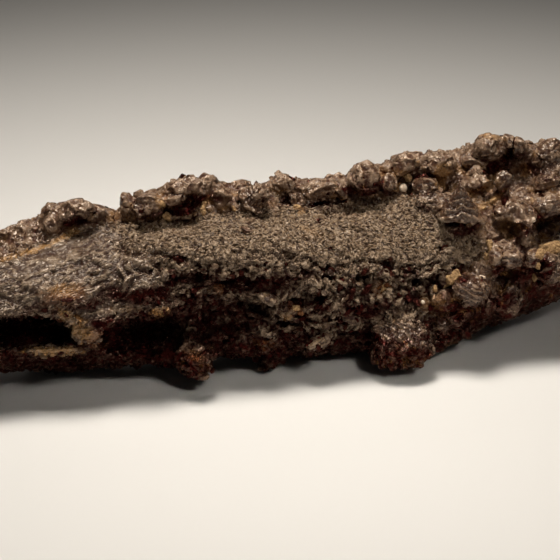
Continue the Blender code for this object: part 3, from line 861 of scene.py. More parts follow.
def shapeRelief(stone):
    mesh = stone.data
    points, normals, triangles = surfaceOf(stone)
    zone = zoneWeights(points, normals)
    clumps = gatherClumps(points, triangles, zone)
    across, down = onPicture(points)
    plate = plateShare(points)
    calmWrinkles, calmRough = relief["plateCalm"]
    wrinkled = zone["skin"] * (1 - calmWrinkles * plate * zone["seen"])
    height = np.zeros(len(points))
    for i in np.nonzero(wrinkled > 0.02)[0]:
        height[i] = wrinkled[i] * relief["skinDepth"] * wrinkle(Vector(points[i]), skinFlow)
    rough = 1 - calmRough * plate * zone["seen"]
    height += relief["swellDepth"] * noiseOn(points, relief["swellSize"], 3.3) * (1 - zone["lumps"]) * rough
    height += relief["crustDepth"] * noiseOn(points, relief["crustSize"], 7.1) * zone["crust"]
    floret = np.abs(noiseOn(points, relief["floretSize"], 4.7))
    floret = floret + 0.5 * np.abs(noiseOn(points, relief["floretSize"] / 2, 8.2))
    low, high = relief["floretDepth"]
    floretDepth = (low + (high - low) * zone["pits"]) * zone["crust"] + relief["foldDepth"] * wrinkled
    belowLine = down - np.interp(across, *zip(*underLine))
    lowLumps = zone["lumps"] * zone["seen"] * smoothStep(*relief["lowLumps"], belowLine)
    floretDepth += relief["lowLumpDepth"] * high * lowLumps
    steep, floor, top = relief["floretShape"]
    height += np.clip(floret * steep + floor, floor, top) * floretDepth
    height -= relief["bedDepth"] * zone["pits"] * zone["seen"]
    height += relief["fineDepth"] * noiseOn(points, relief["fineSize"], 1.7) * rough
    # layers of the clumps: a gentle rise and a sudden step
    clump, along = alongLayers(clumps, points)
    bend, size = relief["layerBend"]
    along = along / clumps["ribSpacing"][clump] + bend * noiseOn(points, size, 5.9)
    step = layerStep(along, *relief["layerParts"])
    height += zone["lumps"] * clumps["ribDepth"][clump] * (step * 2 - 1)
    # named lines
    sideways, upways = (relief["lineWobble"] * noiseOn(points, relief["wobbleSize"], shift)
                        for shift in (2.2, 8.4))
    facing = smoothStep(-0.1, 0.3, normals @ viewBack)
    usual, varied = relief["lineShares"]
    broken = np.clip(usual + varied * noiseOn(points, relief["lineBreaks"], 3.8), *relief["lineRange"])
    for line, width, rise in lines.values():
        near = distanceToLine(across + sideways, down + upways, line)
        height += rise * np.exp(-(near / width) ** 2) * facing * broken
    points = points + normals * height[:, None]
    points[:, 2] = np.maximum(points[:, 2], 0.0)
    movePoints(mesh, points)
    return clumps


clumps = shapeRelief(stone)
print("relief done")


def thinOut(obj, triangles, turnedAway):
    # first the side turned away from the camera, then all of it
    thin = obj.vertex_groups.new(name="turned away")
    limit = body["awayBelow"]
    thin.add(np.nonzero(normalsOf(obj.data) @ viewBack < limit)[0].tolist(), 1.0, "REPLACE")
    away = np.array([p.normal @ Vector(viewBack) for p in obj.data.polygons]) < limit
    seenTriangles = 2 * int((~away).sum())  # the faces are squares here
    for target in (seenTriangles + turnedAway, triangles):
        count = triangleCount(obj.data)
        if count > target:
            decimate = obj.modifiers.new("thin out", "DECIMATE")
            decimate.ratio = target / count
            decimate.use_collapse_triangulate = True
            if target != triangles:
                decimate.vertex_group = thin.name
            bake(obj)


detailShare = 1.0
thinOut(stone, body["triangles"] * detailShare, body["turnedAway"] * detailShare)
print("stone surface", triangleCount(stone.data), "triangles")

# crystals, one on each fused lump that isn't kept plain:
# (outline, lean towards the camera, rib spacing, rib depth, rise of the ribs to the middle, flat faces)
crystalLook = {
    "pyramid": ("peaked", 24, 1.20, 0.26, 0.30, 0),
    "ribbedLump": ("lump", 24, 0.78, 0.26, 0.0, 4),
    "ribbedBall": ("lump", 16, 0.62, 0.20, 0.0, 3),
    "stackTop": ("lump", 20, 0.85, 0.18, 0.0, 8),
    "stackMiddle": ("block", 20, 0.80, 0.16, 0.0, 6),
    "smallStack": ("lump", 22, 0.75, 0.20, 0.0, 6),
    "shell": ("lump", 10, 0.60, 0.14, 0.0, 4),
    "lowBlock": ("block", 20, 1.30, 0.20, 0.0, 10),
    "wedge": ("block", 20, 0.75, 0.14, 0.3, 10),
    "tablet": ("block", 20, 1.10, 0.14, 0.0, 8),
    "slab": ("block", 30, 1.30, 0.10, 0.0, 8),
    "slabEnd": ("block", 20, 0.90, 0.08, 0.0, 8),
    "tooth": ("block", 10, 1.60, 0.12, 0.5, 8),
    "crown": ("lump", 30, 0.90, 0.14, 0.4, 10),
    "crownRight": ("lump", 20, 1.00, 0.10, 0.0, 10),
    "crownSide": ("lump", 20, 0.80, 0.12, 0.0, 8),
    "brow": ("block", 25, 0.80, 0.14, 0.0, 8),
    "button": ("lump", 10, 1.40, 0.05, 0.0, 4),
    "overhang": ("block", 25, 0.90, 0.12, 0.0, 8),
    "fanTop": ("lump", 25, 1.30, 0.06, 0.0, 8),
    "fanFoot": ("block", 20, 0.80, 0.16, 0.0, 8),
    "smallStackSide": ("lump", 20, 0.80, 0.16, 0.0, 6),
    "flake": ("block", 30, 0.70, 0.14, 0.0, 8),
    "shelfEnd": ("block", 30, 0.80, 0.14, 0.0, 8),
    "cup": ("lump", 20, 0.95, 0.12, 0.3, 12),
}
plainCrystal = {"round": ("lump", 20, 1.3, 0.07, 0.0, 16), "block": ("block", 20, 1.1, 0.09, 0.0, 12),
                "plate": ("block", 25, 0.9, 0.10, 0.0, 10)}
crystalForm = {
    "powers": {"lump": 0.88, "block": 0.68},  # 1 is a ball, less is boxy
    "uneven": {"lump": 0.13, "block": 0.12, "peaked": 0.03},
    # the peaked outline: its width and depth at the tip, and what they gain down to the foot
    "peak": ((0.04, 0.96), (0.55, 0.45)),
    "peakHeights": (0.95, 1.75),  # height of the tip, and how far below it the foot is
    "peakCap": 0.35,
    "proud": 0.22,  # how far they stand out of the fused lumps
    "faceDepth": (0.66, 0.90),  # where the flat faces cut, as a share of the way out
    "faceSharp": 0.92,
    "unevenSize": 0.35,  # as a share of the width
    "ribWarp": 0.40, "warpSize": 1.4,
    "layerMiddle": 0.6,  # the part of its depth by which a layer lies below the outline
    "peakRough": 1.3,
    "layerShift": 0.35,  # how far single layers stand out or back, as a share of the rib depth
    "layerParts": (0.78, 0.22),  # of a layer: the slow rise, and the ledge where it falls back
    "bumps": ((0.80, 0.13), (0.36, 0.07), (0.20, 0.035)),  # size and height
    "large": {"pyramid"},
    "smallest": 4.3,  # below this width a crystal gets fewer faces
    "seed": 71,
}


def ballShape(fineness):
    def makeBall(bm):
        bmesh.ops.create_icosphere(bm, subdivisions=fineness, radius=1.0)
    return templateShape(makeBall)


def outlined(ball, outline):
    # the outline in a box from -1 to 1; the third direction is up
    if outline != "peaked":
        return np.sign(ball) * np.abs(ball) ** crystalForm["powers"][outline]
    flat = np.hypot(ball[:, 0], ball[:, 1]) + 1e-9
    sides = ball[:, :2] / flat[:, None]
    square = np.maximum((np.abs(sides) ** 5).sum(axis=1), 0.1) ** -0.2  # corners to the sides
    square *= np.minimum(1, flat / crystalForm["peakCap"])
    tip, fall = crystalForm["peakHeights"]
    wide, deep = (square * np.clip(least + gain * (tip - ball[:, 2]) / fall, least, 1.0)
                  for least, gain in crystalForm["peak"])
    return np.column_stack([sides[:, 0] * wide, sides[:, 1] * deep, ball[:, 2]])


def crystalPoints(ball, size, look, dice):
    outline, _, spacing, depth, rise, faces = look
    width, height, thickness = size
    points = outlined(ball, outline) * np.array((width, thickness, height)) / 2
    shift, bends = dice.uniform(0, 50), crystalForm["unevenSize"] * width
    points *= 1 + crystalForm["uneven"][outline] * noiseOn(points, bends, shift)[:, None] * 2
    for _ in range(faces):
        way = dice.normal(size=3)
        way /= np.linalg.norm(way)
        reach = points @ way
        over = reach - reach.max() * dice.uniform(*crystalForm["faceDepth"])
        points -= way * (np.maximum(over, 0) * crystalForm["faceSharp"])[:, None]
    # layers: they grow outwards as they rise and end in a ledge
    place = (points[:, 2] + rise * np.abs(points[:, 0])) / spacing
    place += crystalForm["ribWarp"] * noiseOn(points, crystalForm["warpSize"], shift + 3)
    step = layerStep(place, *crystalForm["layerParts"])
    layers = np.floor(place).astype(int)
    apart = dice.normal(0, crystalForm["layerShift"], layers.max() - layers.min() + 1)[layers - layers.min()]
    grow = depth * (step - crystalForm["layerMiddle"] + apart)
    rough = crystalForm["peakRough"] if outline == "peaked" else 1.0
    for bumpSize, bumpHeight in crystalForm["bumps"]:
        grow += rough * bumpHeight * noiseOn(points, bumpSize, shift + bumpSize)
    radius = np.linalg.norm(points[:, :2], axis=1) + 0.25
    points[:, :2] *= (1 + grow / radius)[:, None]
    return points


# lumps scattered over the side turned away: look as for the crystals, sizes in mm
farLumps = {
    "spacing": (3.2, 9.0), "width": (1.8, 4.6), "flatness": (0.55, 0.95), "sunk": (0.30, 0.48), "tries": 3000,
    "looks": (("lump", 0, 1.3, 0.10, 0.0, 12), ("block", 0, 1.0, 0.12, 0.0, 9),
              ("lump", 0, 0.8, 0.16, 0.0, 7)),
    "turnedAway": (-0.05, -0.30),  # they begin where the soft stone turns away from the camera
    "notBelow": (-0.85, -0.5),
    "patchSize": 9.0,
    "seed": 73,
}


def makeFarLumps():
    points, normals, triangles = surfaceOf(stone)
    soft = np.array([softTree.find_nearest(point)[1] for point in points.tolist()])
    away = smoothStep(*farLumps["turnedAway"], soft @ viewBack)
    away *= smoothStep(*farLumps["notBelow"], soft[:, 2])
    dice = np.random.default_rng(farLumps["seed"])
    low, high = farLumps["spacing"]
    patchy = np.clip(0.5 + 1.3 * noiseOn(points, farLumps["patchSize"], 6.2), 0, 1)
    spacing = low + (high - low) * patchy
    spots, faces, gaps = scatter(points, triangles, away + 1e-9, spacing, dice, farLumps["tries"])
    ball, corners = ballShape(3)
    allPoints, allFaces = [], []
    for number, (spot, face, gap) in enumerate(zip(spots, faces, gaps)):
        out = normals[triangles[face][0]]
        right = np.cross(dice.normal(size=3), out)
        right /= np.linalg.norm(right)
        width = min(dice.uniform(*farLumps["width"]), gap)
        flat = [dice.uniform(*farLumps["flatness"]) for _ in range(2)]
        size = (width, width * flat[0], width * flat[1])
        look = farLumps["looks"][dice.integers(len(farLumps["looks"]))]
        made = crystalPoints(ball, size, look, dice)
        middle = spot - out * size[2] * (dice.uniform(*farLumps["sunk"]) - 0.1)
        allPoints.append(middle + made @ np.stack([right, -out, np.cross(right, -out)]))
        allFaces.append(corners + number * len(ball))
    return meshOf("far_lumps", allPoints, allFaces)


def meshOf(name, allPoints, allFaces):
    points = np.concatenate(allPoints)
    points[:, 2] = np.maximum(points[:, 2], 0.0)
    mesh = bpy.data.meshes.new(name)
    mesh.from_pydata((points * mm).tolist(), [], np.concatenate(allFaces).tolist())
    mesh.update()
    print(name, triangleCount(mesh), "triangles")
    return newObject(name, mesh)


def makeCrystals():
    dice = np.random.default_rng(crystalForm["seed"])
    fineBall, ball, smallBall = (ballShape(fineness - (0)) for fineness in (6, 5, 4))
    allPoints, allFaces, start = [], [], 0
    for name, (at, size, turn, sunk, kind) in forms.items():
        if name in keptPlain:
            continue
        shape, faces = ball
        if name in crystalForm["large"]:
            shape, faces = fineBall
        elif size[0] < crystalForm["smallest"]:
            shape, faces = smallBall
        look = crystalLook.get(name, plainCrystal.get(kind))
        up = layerAxis(turn, look[1])
        right = np.cross(up, viewBack)
        right /= np.linalg.norm(right)
        away = np.cross(up, right)
        place, _ = castFrom(softTree, at)
        middle = np.array(place) + viewBack * (size[2] * (0.5 - sunk) + crystalForm["proud"])
        points = crystalPoints(shape, size, look, dice)
        allPoints.append(middle + points @ np.stack([right, away, up]))
        allFaces.append(faces + start)
        start += len(shape)
    return meshOf("crystal_lumps", allPoints, allFaces)


crystals = makeCrystals()
farCrystals = makeFarLumps()

# stains and painted shade: (at, half width and half height in pixels, turn, strength, colour); the dark ones
# are mostly painted shade in pits, hollows, under ledges and on the lower part, partly the stone's own dark
# patches
stainsAndShade = {
    "rustPatch": ((65, 294), (25, 12), 8, 0.95, "rust"),
    "rustPatchCore": ((62, 289), (17, 6), 6, 0.55, "ochre"),
    "rimTop": ((66, 316), (10, 5), -20, 0.7, "ochre"),
    "rimRight": ((80, 331), (10, 15), 30, 0.9, "ochre"),
    "rimRust": ((92, 338), (14, 9), -20, 0.9, "rust"),
    "sill": ((55, 350), (31, 4), 0, 0.9, "ochre"),
    "lipKnob": ((161, 312), (11, 5), 8, 0.6, "ochre"),
    "underLip": ((120, 309), (22, 3), 2, 0.2, "ochre"),
    "domePatch": ((443, 172), (10, 8), 0, 0.8, "ochre"),
    "cupSide": ((441, 186), (5, 7), 30, 0.6, "ochre"),
    "strandSide": ((312, 232), (16, 5), -20, 0.3, "ochre"),
    "lowSpotA": ((296, 308), (8, 7), 0, 0.9, "rust"),
    "lowSpotB": ((380, 288), (9, 7), 0, 0.9, "rust"),
    "lowSpotC": ((218, 289), (6, 6), 30, 0.8, "rust"),
    "lowSpotD": ((286, 317), (6, 3), 0, 0.6, "ochre"),
    "cornerTan": ((525, 170), (5, 8), 20, 0.45, "ochre"),
    "crownTop": ((490, 136), (12, 4), -10, 0.5, "ochre"),
    "streak": ((488, 202), (14, 3), 28, 0.85, "ochre"),
    "kneeTan": ((300, 210), (8, 4), -30, 0.5, "ochre"),
    "tabletFoot": ((160, 203), (4, 7), 10, 0.6, "ochre"),
    "nestTan": ((492, 185), (10, 10), 0, 0.45, "ochre"),
    "tanLump": ((432, 303), (14, 10), 0, 0.3, "ochre"),
    "fanTan": ((508, 226), (14, 9), -10, 0.4, "ochre"),
    "capTan": ((404, 176), (5, 6), 20, 0.45, "ochre"),
    "underRust": ((265, 343), (11, 6), 0, 0.6, "rust"),
    "knobRust": ((196, 356), (14, 6), -30, 0.5, "rust"),
    "toeDark": ((30, 240), (17, 8), 24, 0.6, "dark"),
    "peakDark": ((88, 215), (24, 9), -8, 0.8, "dark"),
    "tabletDark": ((138, 208), (8, 12), 0, 0.7, "dark"),
    "tabletPitDark": ((158, 214), (9, 7), 0, 0.9, "dark"),
    "massDark": ((186, 206), (18, 12), 10, 0.8, "dark"),
    "wedgeDark": ((257, 199), (17, 13), 30, 1.0, "dark"),
    "midDark": ((285, 199), (9, 8), 0, 0.9, "dark"),
    "slabDark": ((326, 200), (28, 6), 14, 0.9, "dark"),
    "toothDark": ((367, 192), (16, 12), 0, 0.9, "dark"),
    "shoulderDark": ((390, 189), (10, 8), 0, 0.9, "dark"),
    "knuckleDark": ((404, 172), (10, 6), -10, 0.6, "dark"),
    "cupDark": ((425, 189), (17, 13), 0, 1.0, "dark"),
    "browDark": ((466, 170), (8, 7), 0, 0.8, "dark"),
    "pyramidDark": ((460, 203), (24, 20), 0, 1.0, "dark"),
    "crownDark": ((513, 150), (12, 11), 0, 1.0, "dark"),
    "crownLeftDark": ((484, 152), (10, 9), 0, 0.6, "dark"),
    "buttonDark": ((506, 181), (8, 14), 0, 1.0, "dark"),
    "stackDark": ((546, 162), (17, 15), 0, 0.9, "dark"),
    "overhangDark": ((545, 207), (17, 9), 0, 0.7, "dark"),
    "caveDark": ((548, 230), (20, 12), 0, 1.0, "dark"),
    "smallStackDark": ((511, 262), (20, 14), 0, 1.0, "dark"),
    "shellDark": ((533, 260), (8, 9), 0, 0.9, "dark"),
    "ballDark": ((550, 269), (14, 20), 0, 1.0, "dark"),
    "ribbedDark": ((471, 292), (19, 18), 0, 1.0, "dark"),
    "blockDark": ((508, 299), (23, 19), 0, 1.0, "dark"),
    "lowRightDark": ((470, 322), (60, 16), 14, 0.9, "dark"),
    "lobeDark": ((402, 338), (38, 24), 0, 1.0, "dark"),
    "knobDark": ((195, 357), (19, 19), 0, 1.0, "dark"),
    "lowKnobsDark": ((262, 348), (26, 16), 0, 0.8, "dark"),
    "foldsDark": ((146, 276), (26, 22), -30, 0.55, "dark"),
    "ledgeDark": ((160, 253), (40, 6), -14, 0.7, "dark"),
}

seamStain = {"line": [(0, 260), (20, 254), (40, 248), (60, 239), (76, 231)], "width": 2.0, "strength": 1.0}
markEdge = (1.2, 0.5)  # a stain or patch of painted shade fades between these shares of its half width
seamEdge = (1.3, 0.6)


def inEllipse(across, down, at, halves, turn):
    # 0 at the middle, 1 on the rim
    a = math.radians(turn)
    right, up = across - at[0], at[1] - down
    u = (right * math.cos(a) + up * math.sin(a)) / halves[0]
    v = (up * math.cos(a) - right * math.sin(a)) / halves[1]
    return np.hypot(u, v)


def stainAndShadeShares(points, normals):
    across, down = onPicture(points)
    seen = smoothStep(-0.2, 0.2, normals @ viewBack)
    ragged = 0.55 * noiseOn(points, 0.9, 6.6) + 0.3 * noiseOn(points, 0.4, 9.1)
    shares = {colour: np.zeros(len(points)) for colour in ("ochre", "rust", "dark")}
    for at, halves, turn, strength, colour in stainsAndShade.values():
        share = strength * seen * smoothStep(*markEdge, inEllipse(across, down, at, halves, turn) + ragged)
        shares[colour] = np.maximum(shares[colour], share)
    seam = distanceToLine(across, down, seamStain["line"]) / seamStain["width"] + ragged
    shares["ochre"] = np.maximum(shares["ochre"], seamStain["strength"] * seen * smoothStep(*seamEdge, seam))
    return shares


shelterRays = {"count": 12, "reach": 4.5, "lift": 0.06}


def shelterOf(tree, points, normals):
    # share of the open side of each point that nearby stone covers
    golden = math.pi * (3 - math.sqrt(5))
    rays = []
    for number in range(shelterRays["count"]):
        radius = math.sqrt((number + 0.5) / shelterRays["count"])
        angle = number * golden
        rays.append((radius * math.cos(angle), radius * math.sin(angle), math.sqrt(1 - radius * radius)))
    reach = shelterRays["reach"]
    covered = np.zeros(len(points))
    for i, (place, normal) in enumerate(zip(points.tolist(), normals.tolist())):
        outward = Vector(normal)
        side = outward.orthogonal().normalized()
        other = outward.cross(side)
        start = Vector(place) + outward * shelterRays["lift"]
        for a, b, c in rays:
            hit = tree.ray_cast(start, side * a + other * b + outward * c, reach)[3]
            if hit is not None:
                covered[i] += 1 - hit / reach
    return covered / shelterRays["count"]


crestLook = {"height": 0.12, "broadRounds": 4, "broadShare": 0.9}


def crestOf(mesh, points, normals, rounds):
    # above 0.5 on crests and edges, below it in creases
    ends = np.empty(len(mesh.edges) * 2, np.int32)
    mesh.edges.foreach_get("vertices", ends)
    ends = ends.reshape(-1, 2)
    first, second = np.concatenate([ends, ends[:, ::-1]]).T
    count = np.bincount(first, minlength=len(points))

    def neighbours(values):
        return np.bincount(first, values[second], len(points)) / count

    averaged = points
    for _ in range(rounds):
        averaged = np.stack([neighbours(averaged[:, k]) for k in range(3)], axis=1)
    off = ((points - averaged) * normals).sum(axis=1)
    off = 0.5 * off + 0.5 * neighbours(off)
    if rounds > 1:  # on the smooth crystals only edges count, not their round sides
        broad = off
        for _ in range(crestLook["broadRounds"] * rounds):
            broad = neighbours(broad)
        off = off - crestLook["broadShare"] * broad
    return np.clip(0.5 + off / crestLook["height"], 0, 1)


def setAttribute(mesh, name, values):
    layer = mesh.attributes.new(name, "FLOAT", "POINT")
    layer.data.foreach_set("value", np.asarray(values, np.float32))


# spots spared from the painted shade below, as they catch the light: (at, half width and half height in
# pixels, turn, strength)
worn = {
    "knobTop": ((192, 346), (13, 6), 0, 0.55),
    "knobATop": ((240, 339), (7, 4), 0, 0.35),
    "knobBTop": ((264, 333), (12, 6), -10, 0.85),
    "flake": ((319, 342), (18, 7), 24, 1.0),
    "shelf": ((316, 322), (33, 7), 10, 0.9),
    "lobeTop": ((400, 329), (28, 12), -6, 0.9),
    "sill": ((55, 350), (33, 4), 0, 0.9),
    "rim": ((82, 330), (12, 17), 38, 0.95),
    "bead": ((265, 297), (10, 5), -25, 0.7),
    "bellyLump": ((281, 312), (18, 6), 0, 0.6),
    "bellyDots": ((222, 320), (10, 4), 20, 0.35),
    "kneeLump": ((352, 325), (14, 10), 0, 0.7),
}


# where the painted shade below begins and how it fades
underShadeEdges = {
    "facing": (0.34, -0.22),  # upward part of the soft body's normal
    "line": (-5.0, 6.0),  # pixels below the line
    "stray": 9.0,
    "worn": (1.25, 0.6),
}


def undersideOf(points, normals):
    # 1 where painted shade goes: where the soft body below the relief faces the table, and below the line
    facing = np.array([softTree.find_nearest(point)[1].z for point in points.tolist()])
    across, down = onPicture(points)
    ragged = noiseOn(points, 1.4, 5.2)
    front = smoothStep(-0.35, 0.05, normals @ viewBack)
    belowLine = down - np.interp(across, *zip(*underLine)) + underShadeEdges["stray"] * ragged
    below = smoothStep(*underShadeEdges["line"], belowLine) * front
    # the lit spots are spared the painted shade
    bright = np.zeros(len(points))
    for at, halves, turn, strength in worn.values():
        share = smoothStep(*underShadeEdges["worn"], inEllipse(across, down, at, halves, turn) + 0.5 * ragged)
        bright = np.maximum(bright, strength * share * front)
    return np.maximum(smoothStep(*underShadeEdges["facing"], facing), below) * (1 - bright)


def treeOfAll():
    places, corners = [], []
    for obj in (stone, crystals, farCrystals):
        start = sum(len(p) for p in places)
        places.append(pointsOf(obj.data))
        corners += [tuple(v + start for v in p.vertices) for p in obj.data.polygons]
    return BVHTree.FromPolygons(np.concatenate(places).tolist(), corners)


nearTree = treeOfAll()

dusting = {
    "facingUp": (-0.25, 0.55),
    # base, and what crust, skin and patches add
    "shares": (0.12, 0.70, -0.10, 0.30),
    "patchSize": 2.6,
    # ochre in the joints of the lumps: shelter where it begins and ends, patches, strength
    "jointsFrom": (0.10, 0.24),
    "jointsTo": (0.62, 0.42),
    "jointPatches": (0.05, 0.32),
    "jointPatchSize": 1.9,
    "jointStrength": 0.45,
}


def measureSkin(obj, crestRounds):
    points, normals, triangles = surfaceOf(obj)
    zone = zoneWeights(points, normals)
    shares = stainAndShadeShares(points, normals)
    shelter = shelterOf(nearTree, points, normals)
    patchy = 0.5 + 0.9 * noiseOn(points, dusting["patchSize"], 4.4)
    base, onCrust, onSkin, onPatches = dusting["shares"]
    dust = np.clip(base + onCrust * zone["crust"] + onSkin * zone["skin"] + onPatches * (patchy - 0.5), 0, 1)
    dust = smoothStep(*dusting["facingUp"], normals[:, 2]) * dust
    joints = smoothStep(*dusting["jointsFrom"], shelter) * smoothStep(*dusting["jointsTo"], shelter)
    joints = joints * zone["lumps"] * zone["seen"]
    joints *= smoothStep(*dusting["jointPatches"], noiseOn(points, dusting["jointPatchSize"], 7.7))
    shares["ochre"] = np.maximum(shares["ochre"], dusting["jointStrength"] * joints)
    looks = {
        "crest": crestOf(obj.data, points, normals, crestRounds),
        "shelter": shelter,
        "underside": undersideOf(points, normals),
        "dust": dust,
        "ochre": shares["ochre"],
        "rust": shares["rust"],
        "dark": shares["dark"],
        "shade": np.full(len(points), 0.5),
        "lump": zone["lumps"],
        "skin": zone["skin"],
    }
    clump, along = alongLayers(clumps, points)
    looks["layerPlace"] = along / clumps["fineSpacing"][clump] + 0.8 * noiseOn(points, 1.5, 5.9)
    looks["layerShare"] = clumps["fineShare"][clump] * zone["lumps"]
    for name, values in looks.items():
        setAttribute(obj.data, name, values)
    return {"points": points, "normals": normals, "triangles": triangles, "zone": zone, "looks": looks}


skin = measureSkin(stone, 1)
for obj, rounds in ((crystals, 7), (farCrystals, 2)):
    measureSkin(obj, rounds)
    setAttribute(obj.data, "faceted", np.ones(len(obj.data.vertices)))
print("looks measured")

# small grains and flakes, each kind joined in one mesh; lengths are half sizes
crustGrains = {
    "spacing": (0.40, 0.66), "length": (0.26, 0.44), "width": (0.12, 0.19), "height": (0.18, 0.32),
    "sunk": 0.10, "lean": 0.40, "wobble": 0.20, "slope": 35.0, "slopeSpread": 70.0, "tries": 90000,
    "seed": 31,
}
pitKnobs = {
    "spacing": (0.62, 1.10), "length": (0.30, 0.56), "width": (0.17, 0.28), "height": (0.24, 0.42),
    "sunk": 0.06, "lean": 0.42, "wobble": 0.24, "slope": 15.0, "slopeSpread": 46.0, "tries": 40000,
    "seed": 32,
}
backGrains = {
    "spacing": (1.05, 1.45), "length": (0.40, 0.66), "width": (0.28, 0.44), "height": (0.24, 0.42),
    "sunk": 0.25, "lean": 0.35, "wobble": 0.2, "slope": 15.0, "slopeSpread": 70.0, "tries": 60000,
    "seed": 33,
}
skinFolds = {
    "spacing": (1.2, 2.6), "length": (0.30, 0.80), "width": (0.08, 0.14), "height": (0.10, 0.18),
    "sunk": 0.05, "lean": 0.15, "wobble": 0.25, "slope": 28.0, "slopeSpread": 42.0, "tries": 20000,
    "seed": 37,
}
crystalGrains = {
    "spacing": (0.8, 2.4), "length": (0.22, 0.42), "width": (0.14, 0.28), "height": (0.12, 0.24),
    "sunk": 0.45, "lean": 0.4, "wobble": 0.18, "slope": 20.0, "slopeSpread": 80.0, "tries": 40000,
    "seed": 36,
}
backFlakes = {
    "spacing": (1.3, 1.9), "length": (0.60, 1.15), "width": (0.50, 0.85), "height": (0.22, 0.42),
    "sunk": 0.45, "lean": 0.12, "wobble": 0.12, "tries": 40000, "seed": 35,
}


def grainShape(bm):
    bmesh.ops.create_cube(bm, size=2.0)
    bmesh.ops.bevel(bm, geom=bm.edges[:], offset=0.55, affect="EDGES", segments=1, profile=0.5, material=-1)


def wormShape(bm):
    # a short bent ridge with thin ends
    bmesh.ops.create_cube(bm, size=2.0)
    long = [e for e in bm.edges if abs(e.verts[0].co.x - e.verts[1].co.x) > 1]
    bmesh.ops.subdivide_edges(bm, edges=long, cuts=3)
    for v in bm.verts:
        thin = 1.0 - 0.55 * v.co.x ** 2
        v.co.y = v.co.y * thin + 0.9 * v.co.x ** 2 - 0.4
        v.co.z = v.co.z * thin
    top = [v for v in bm.verts if v.co.z > 0]
    bmesh.ops.scale(bm, vec=(1.0, 0.62, 1.0), verts=top)
    bmesh.ops.triangulate(bm, faces=bm.faces[:])


def flakeShape(bm):
    bmesh.ops.create_cube(bm, size=2.0)
    bmesh.ops.bevel(bm, geom=bm.edges[:], offset=0.3, affect="EDGES", segments=1, profile=0.5, material=-1)


def addSmall(name, settings, weights, makeShape):
    dice = np.random.default_rng(settings["seed"])
    low, high = settings["spacing"]
    patchy = np.clip(0.5 + 1.2 * noiseOn(skin["points"], 2.2, settings["seed"]), 0, 1)
    spacing, triangles = low + (high - low) * patchy, skin["triangles"]
    spots, faces, gaps = scatter(skin["points"], triangles, weights, spacing, dice, settings["tries"])
    count = len(spots)
    corner = triangles[faces][:, 0]
    outward = skin["normals"][corner] + dice.normal(0, settings["lean"], (count, 3))
    outward /= np.linalg.norm(outward, axis=1)[:, None]
    if makeShape is flakeShape:
        # flakes lie in the layers of their clump, thin side along its axis
        axes = clumps["axes"][nearestOf(clumps["middles"], spots)]
        axes = axes + dice.normal(0, settings["lean"], (count, 3))
        turns = turnedFrames(axes, dice.normal(size=(count, 3)))
    else:
        slopes = np.radians(dice.normal(settings["slope"], settings["slopeSpread"], count))
        alongs = np.cos(slopes)[:, None] * viewRight + np.sin(slopes)[:, None] * viewUp
        turns = turnedFrames(outward, alongs)
    size = (gaps / (low + high) * 2)[:, None]
    sizes = size * drawSizes(dice, settings, ("length", "width", "height"), count)
    middles = spots - outward * settings["sunk"] * sizes[:, :1]
    template = templateShape(makeShape)
    mesh = joinedCopies(name, template, middles, turns, sizes, settings["wobble"], dice)
    small = newObject(name, mesh)
    corners = len(template[0])
    points = pointsOf(mesh)
    rise = ((points - np.repeat(middles, corners, axis=0)) * np.repeat(outward, corners, axis=0)).sum(axis=1)
    reach = np.repeat(sizes.max(axis=1), corners)
    for look, values in skin["looks"].items():
        spread = np.repeat(values[corner], corners)
        # on the grains the crest share rises from foot to tip: painted highlight on the tips, painted shade
        # at the feet
        if look == "crest":
            spread = np.clip(0.5 + 0.6 * rise / reach, 0, 1)
        if look == "shade":
            spread = np.repeat(dice.random(count), corners)
        if look == "layerShare":
            spread = np.zeros(len(points))
        setAttribute(mesh, look, spread)
    print(name, count, "of", triangleCount(mesh), "triangles")
    return small


# grains keep to these ranges of shelter: out of the hollows, or in the gaps between the lumps
grainShelter = {"open": (0.60, 0.35), "between": (0.08, 0.22)}
layeredFrom = (0.07, 0.13)  # rib depths over which a clump counts as layered

seenSide, zone = skin["zone"]["seen"], skin["zone"]
layering = smoothStep(*layeredFrom, clumps["ribDepth"][nearestOf(clumps["middles"], skin["points"])])
unsheltered = smoothStep(*grainShelter["open"], skin["looks"]["shelter"])
between = smoothStep(*grainShelter["between"], skin["looks"]["shelter"])
fineCrust = zone["crust"] * (1 - zone["pits"]) * seenSide * unsheltered
frontLumps, backLumps = zone["lumps"] * seenSide, zone["lumps"] * (1 - seenSide)
foldedSkin = zone["skin"] * seenSide * (1 - 0.85 * plateShare(skin["points"]))
grainKinds = (
    # name, settings, where they lie and the share below which there are none, shape
    ("crust_grains", crustGrains, fineCrust, 0.1, wormShape),
    ("skin_folds", skinFolds, foldedSkin, 0.3, wormShape),
    ("pit_knobs", pitKnobs, zone["pits"] * seenSide * unsheltered, 0.1, wormShape),
    ("back_grains", backGrains, (1 - seenSide) * (1 - zone["lumps"]), 0.2, grainShape),
    ("crystal_grains", crystalGrains, frontLumps * (1 - layering) * between, 0.5, grainShape),
    ("back_flakes", backFlakes, backLumps * layering, 0.2, flakeShape),
)
small = []
for name, settings, share, least, makeShape in grainKinds:
    weights = np.clip(share - least, 0, 1) + 1e-6
    small.append(addSmall(name, settings, weights, makeShape))

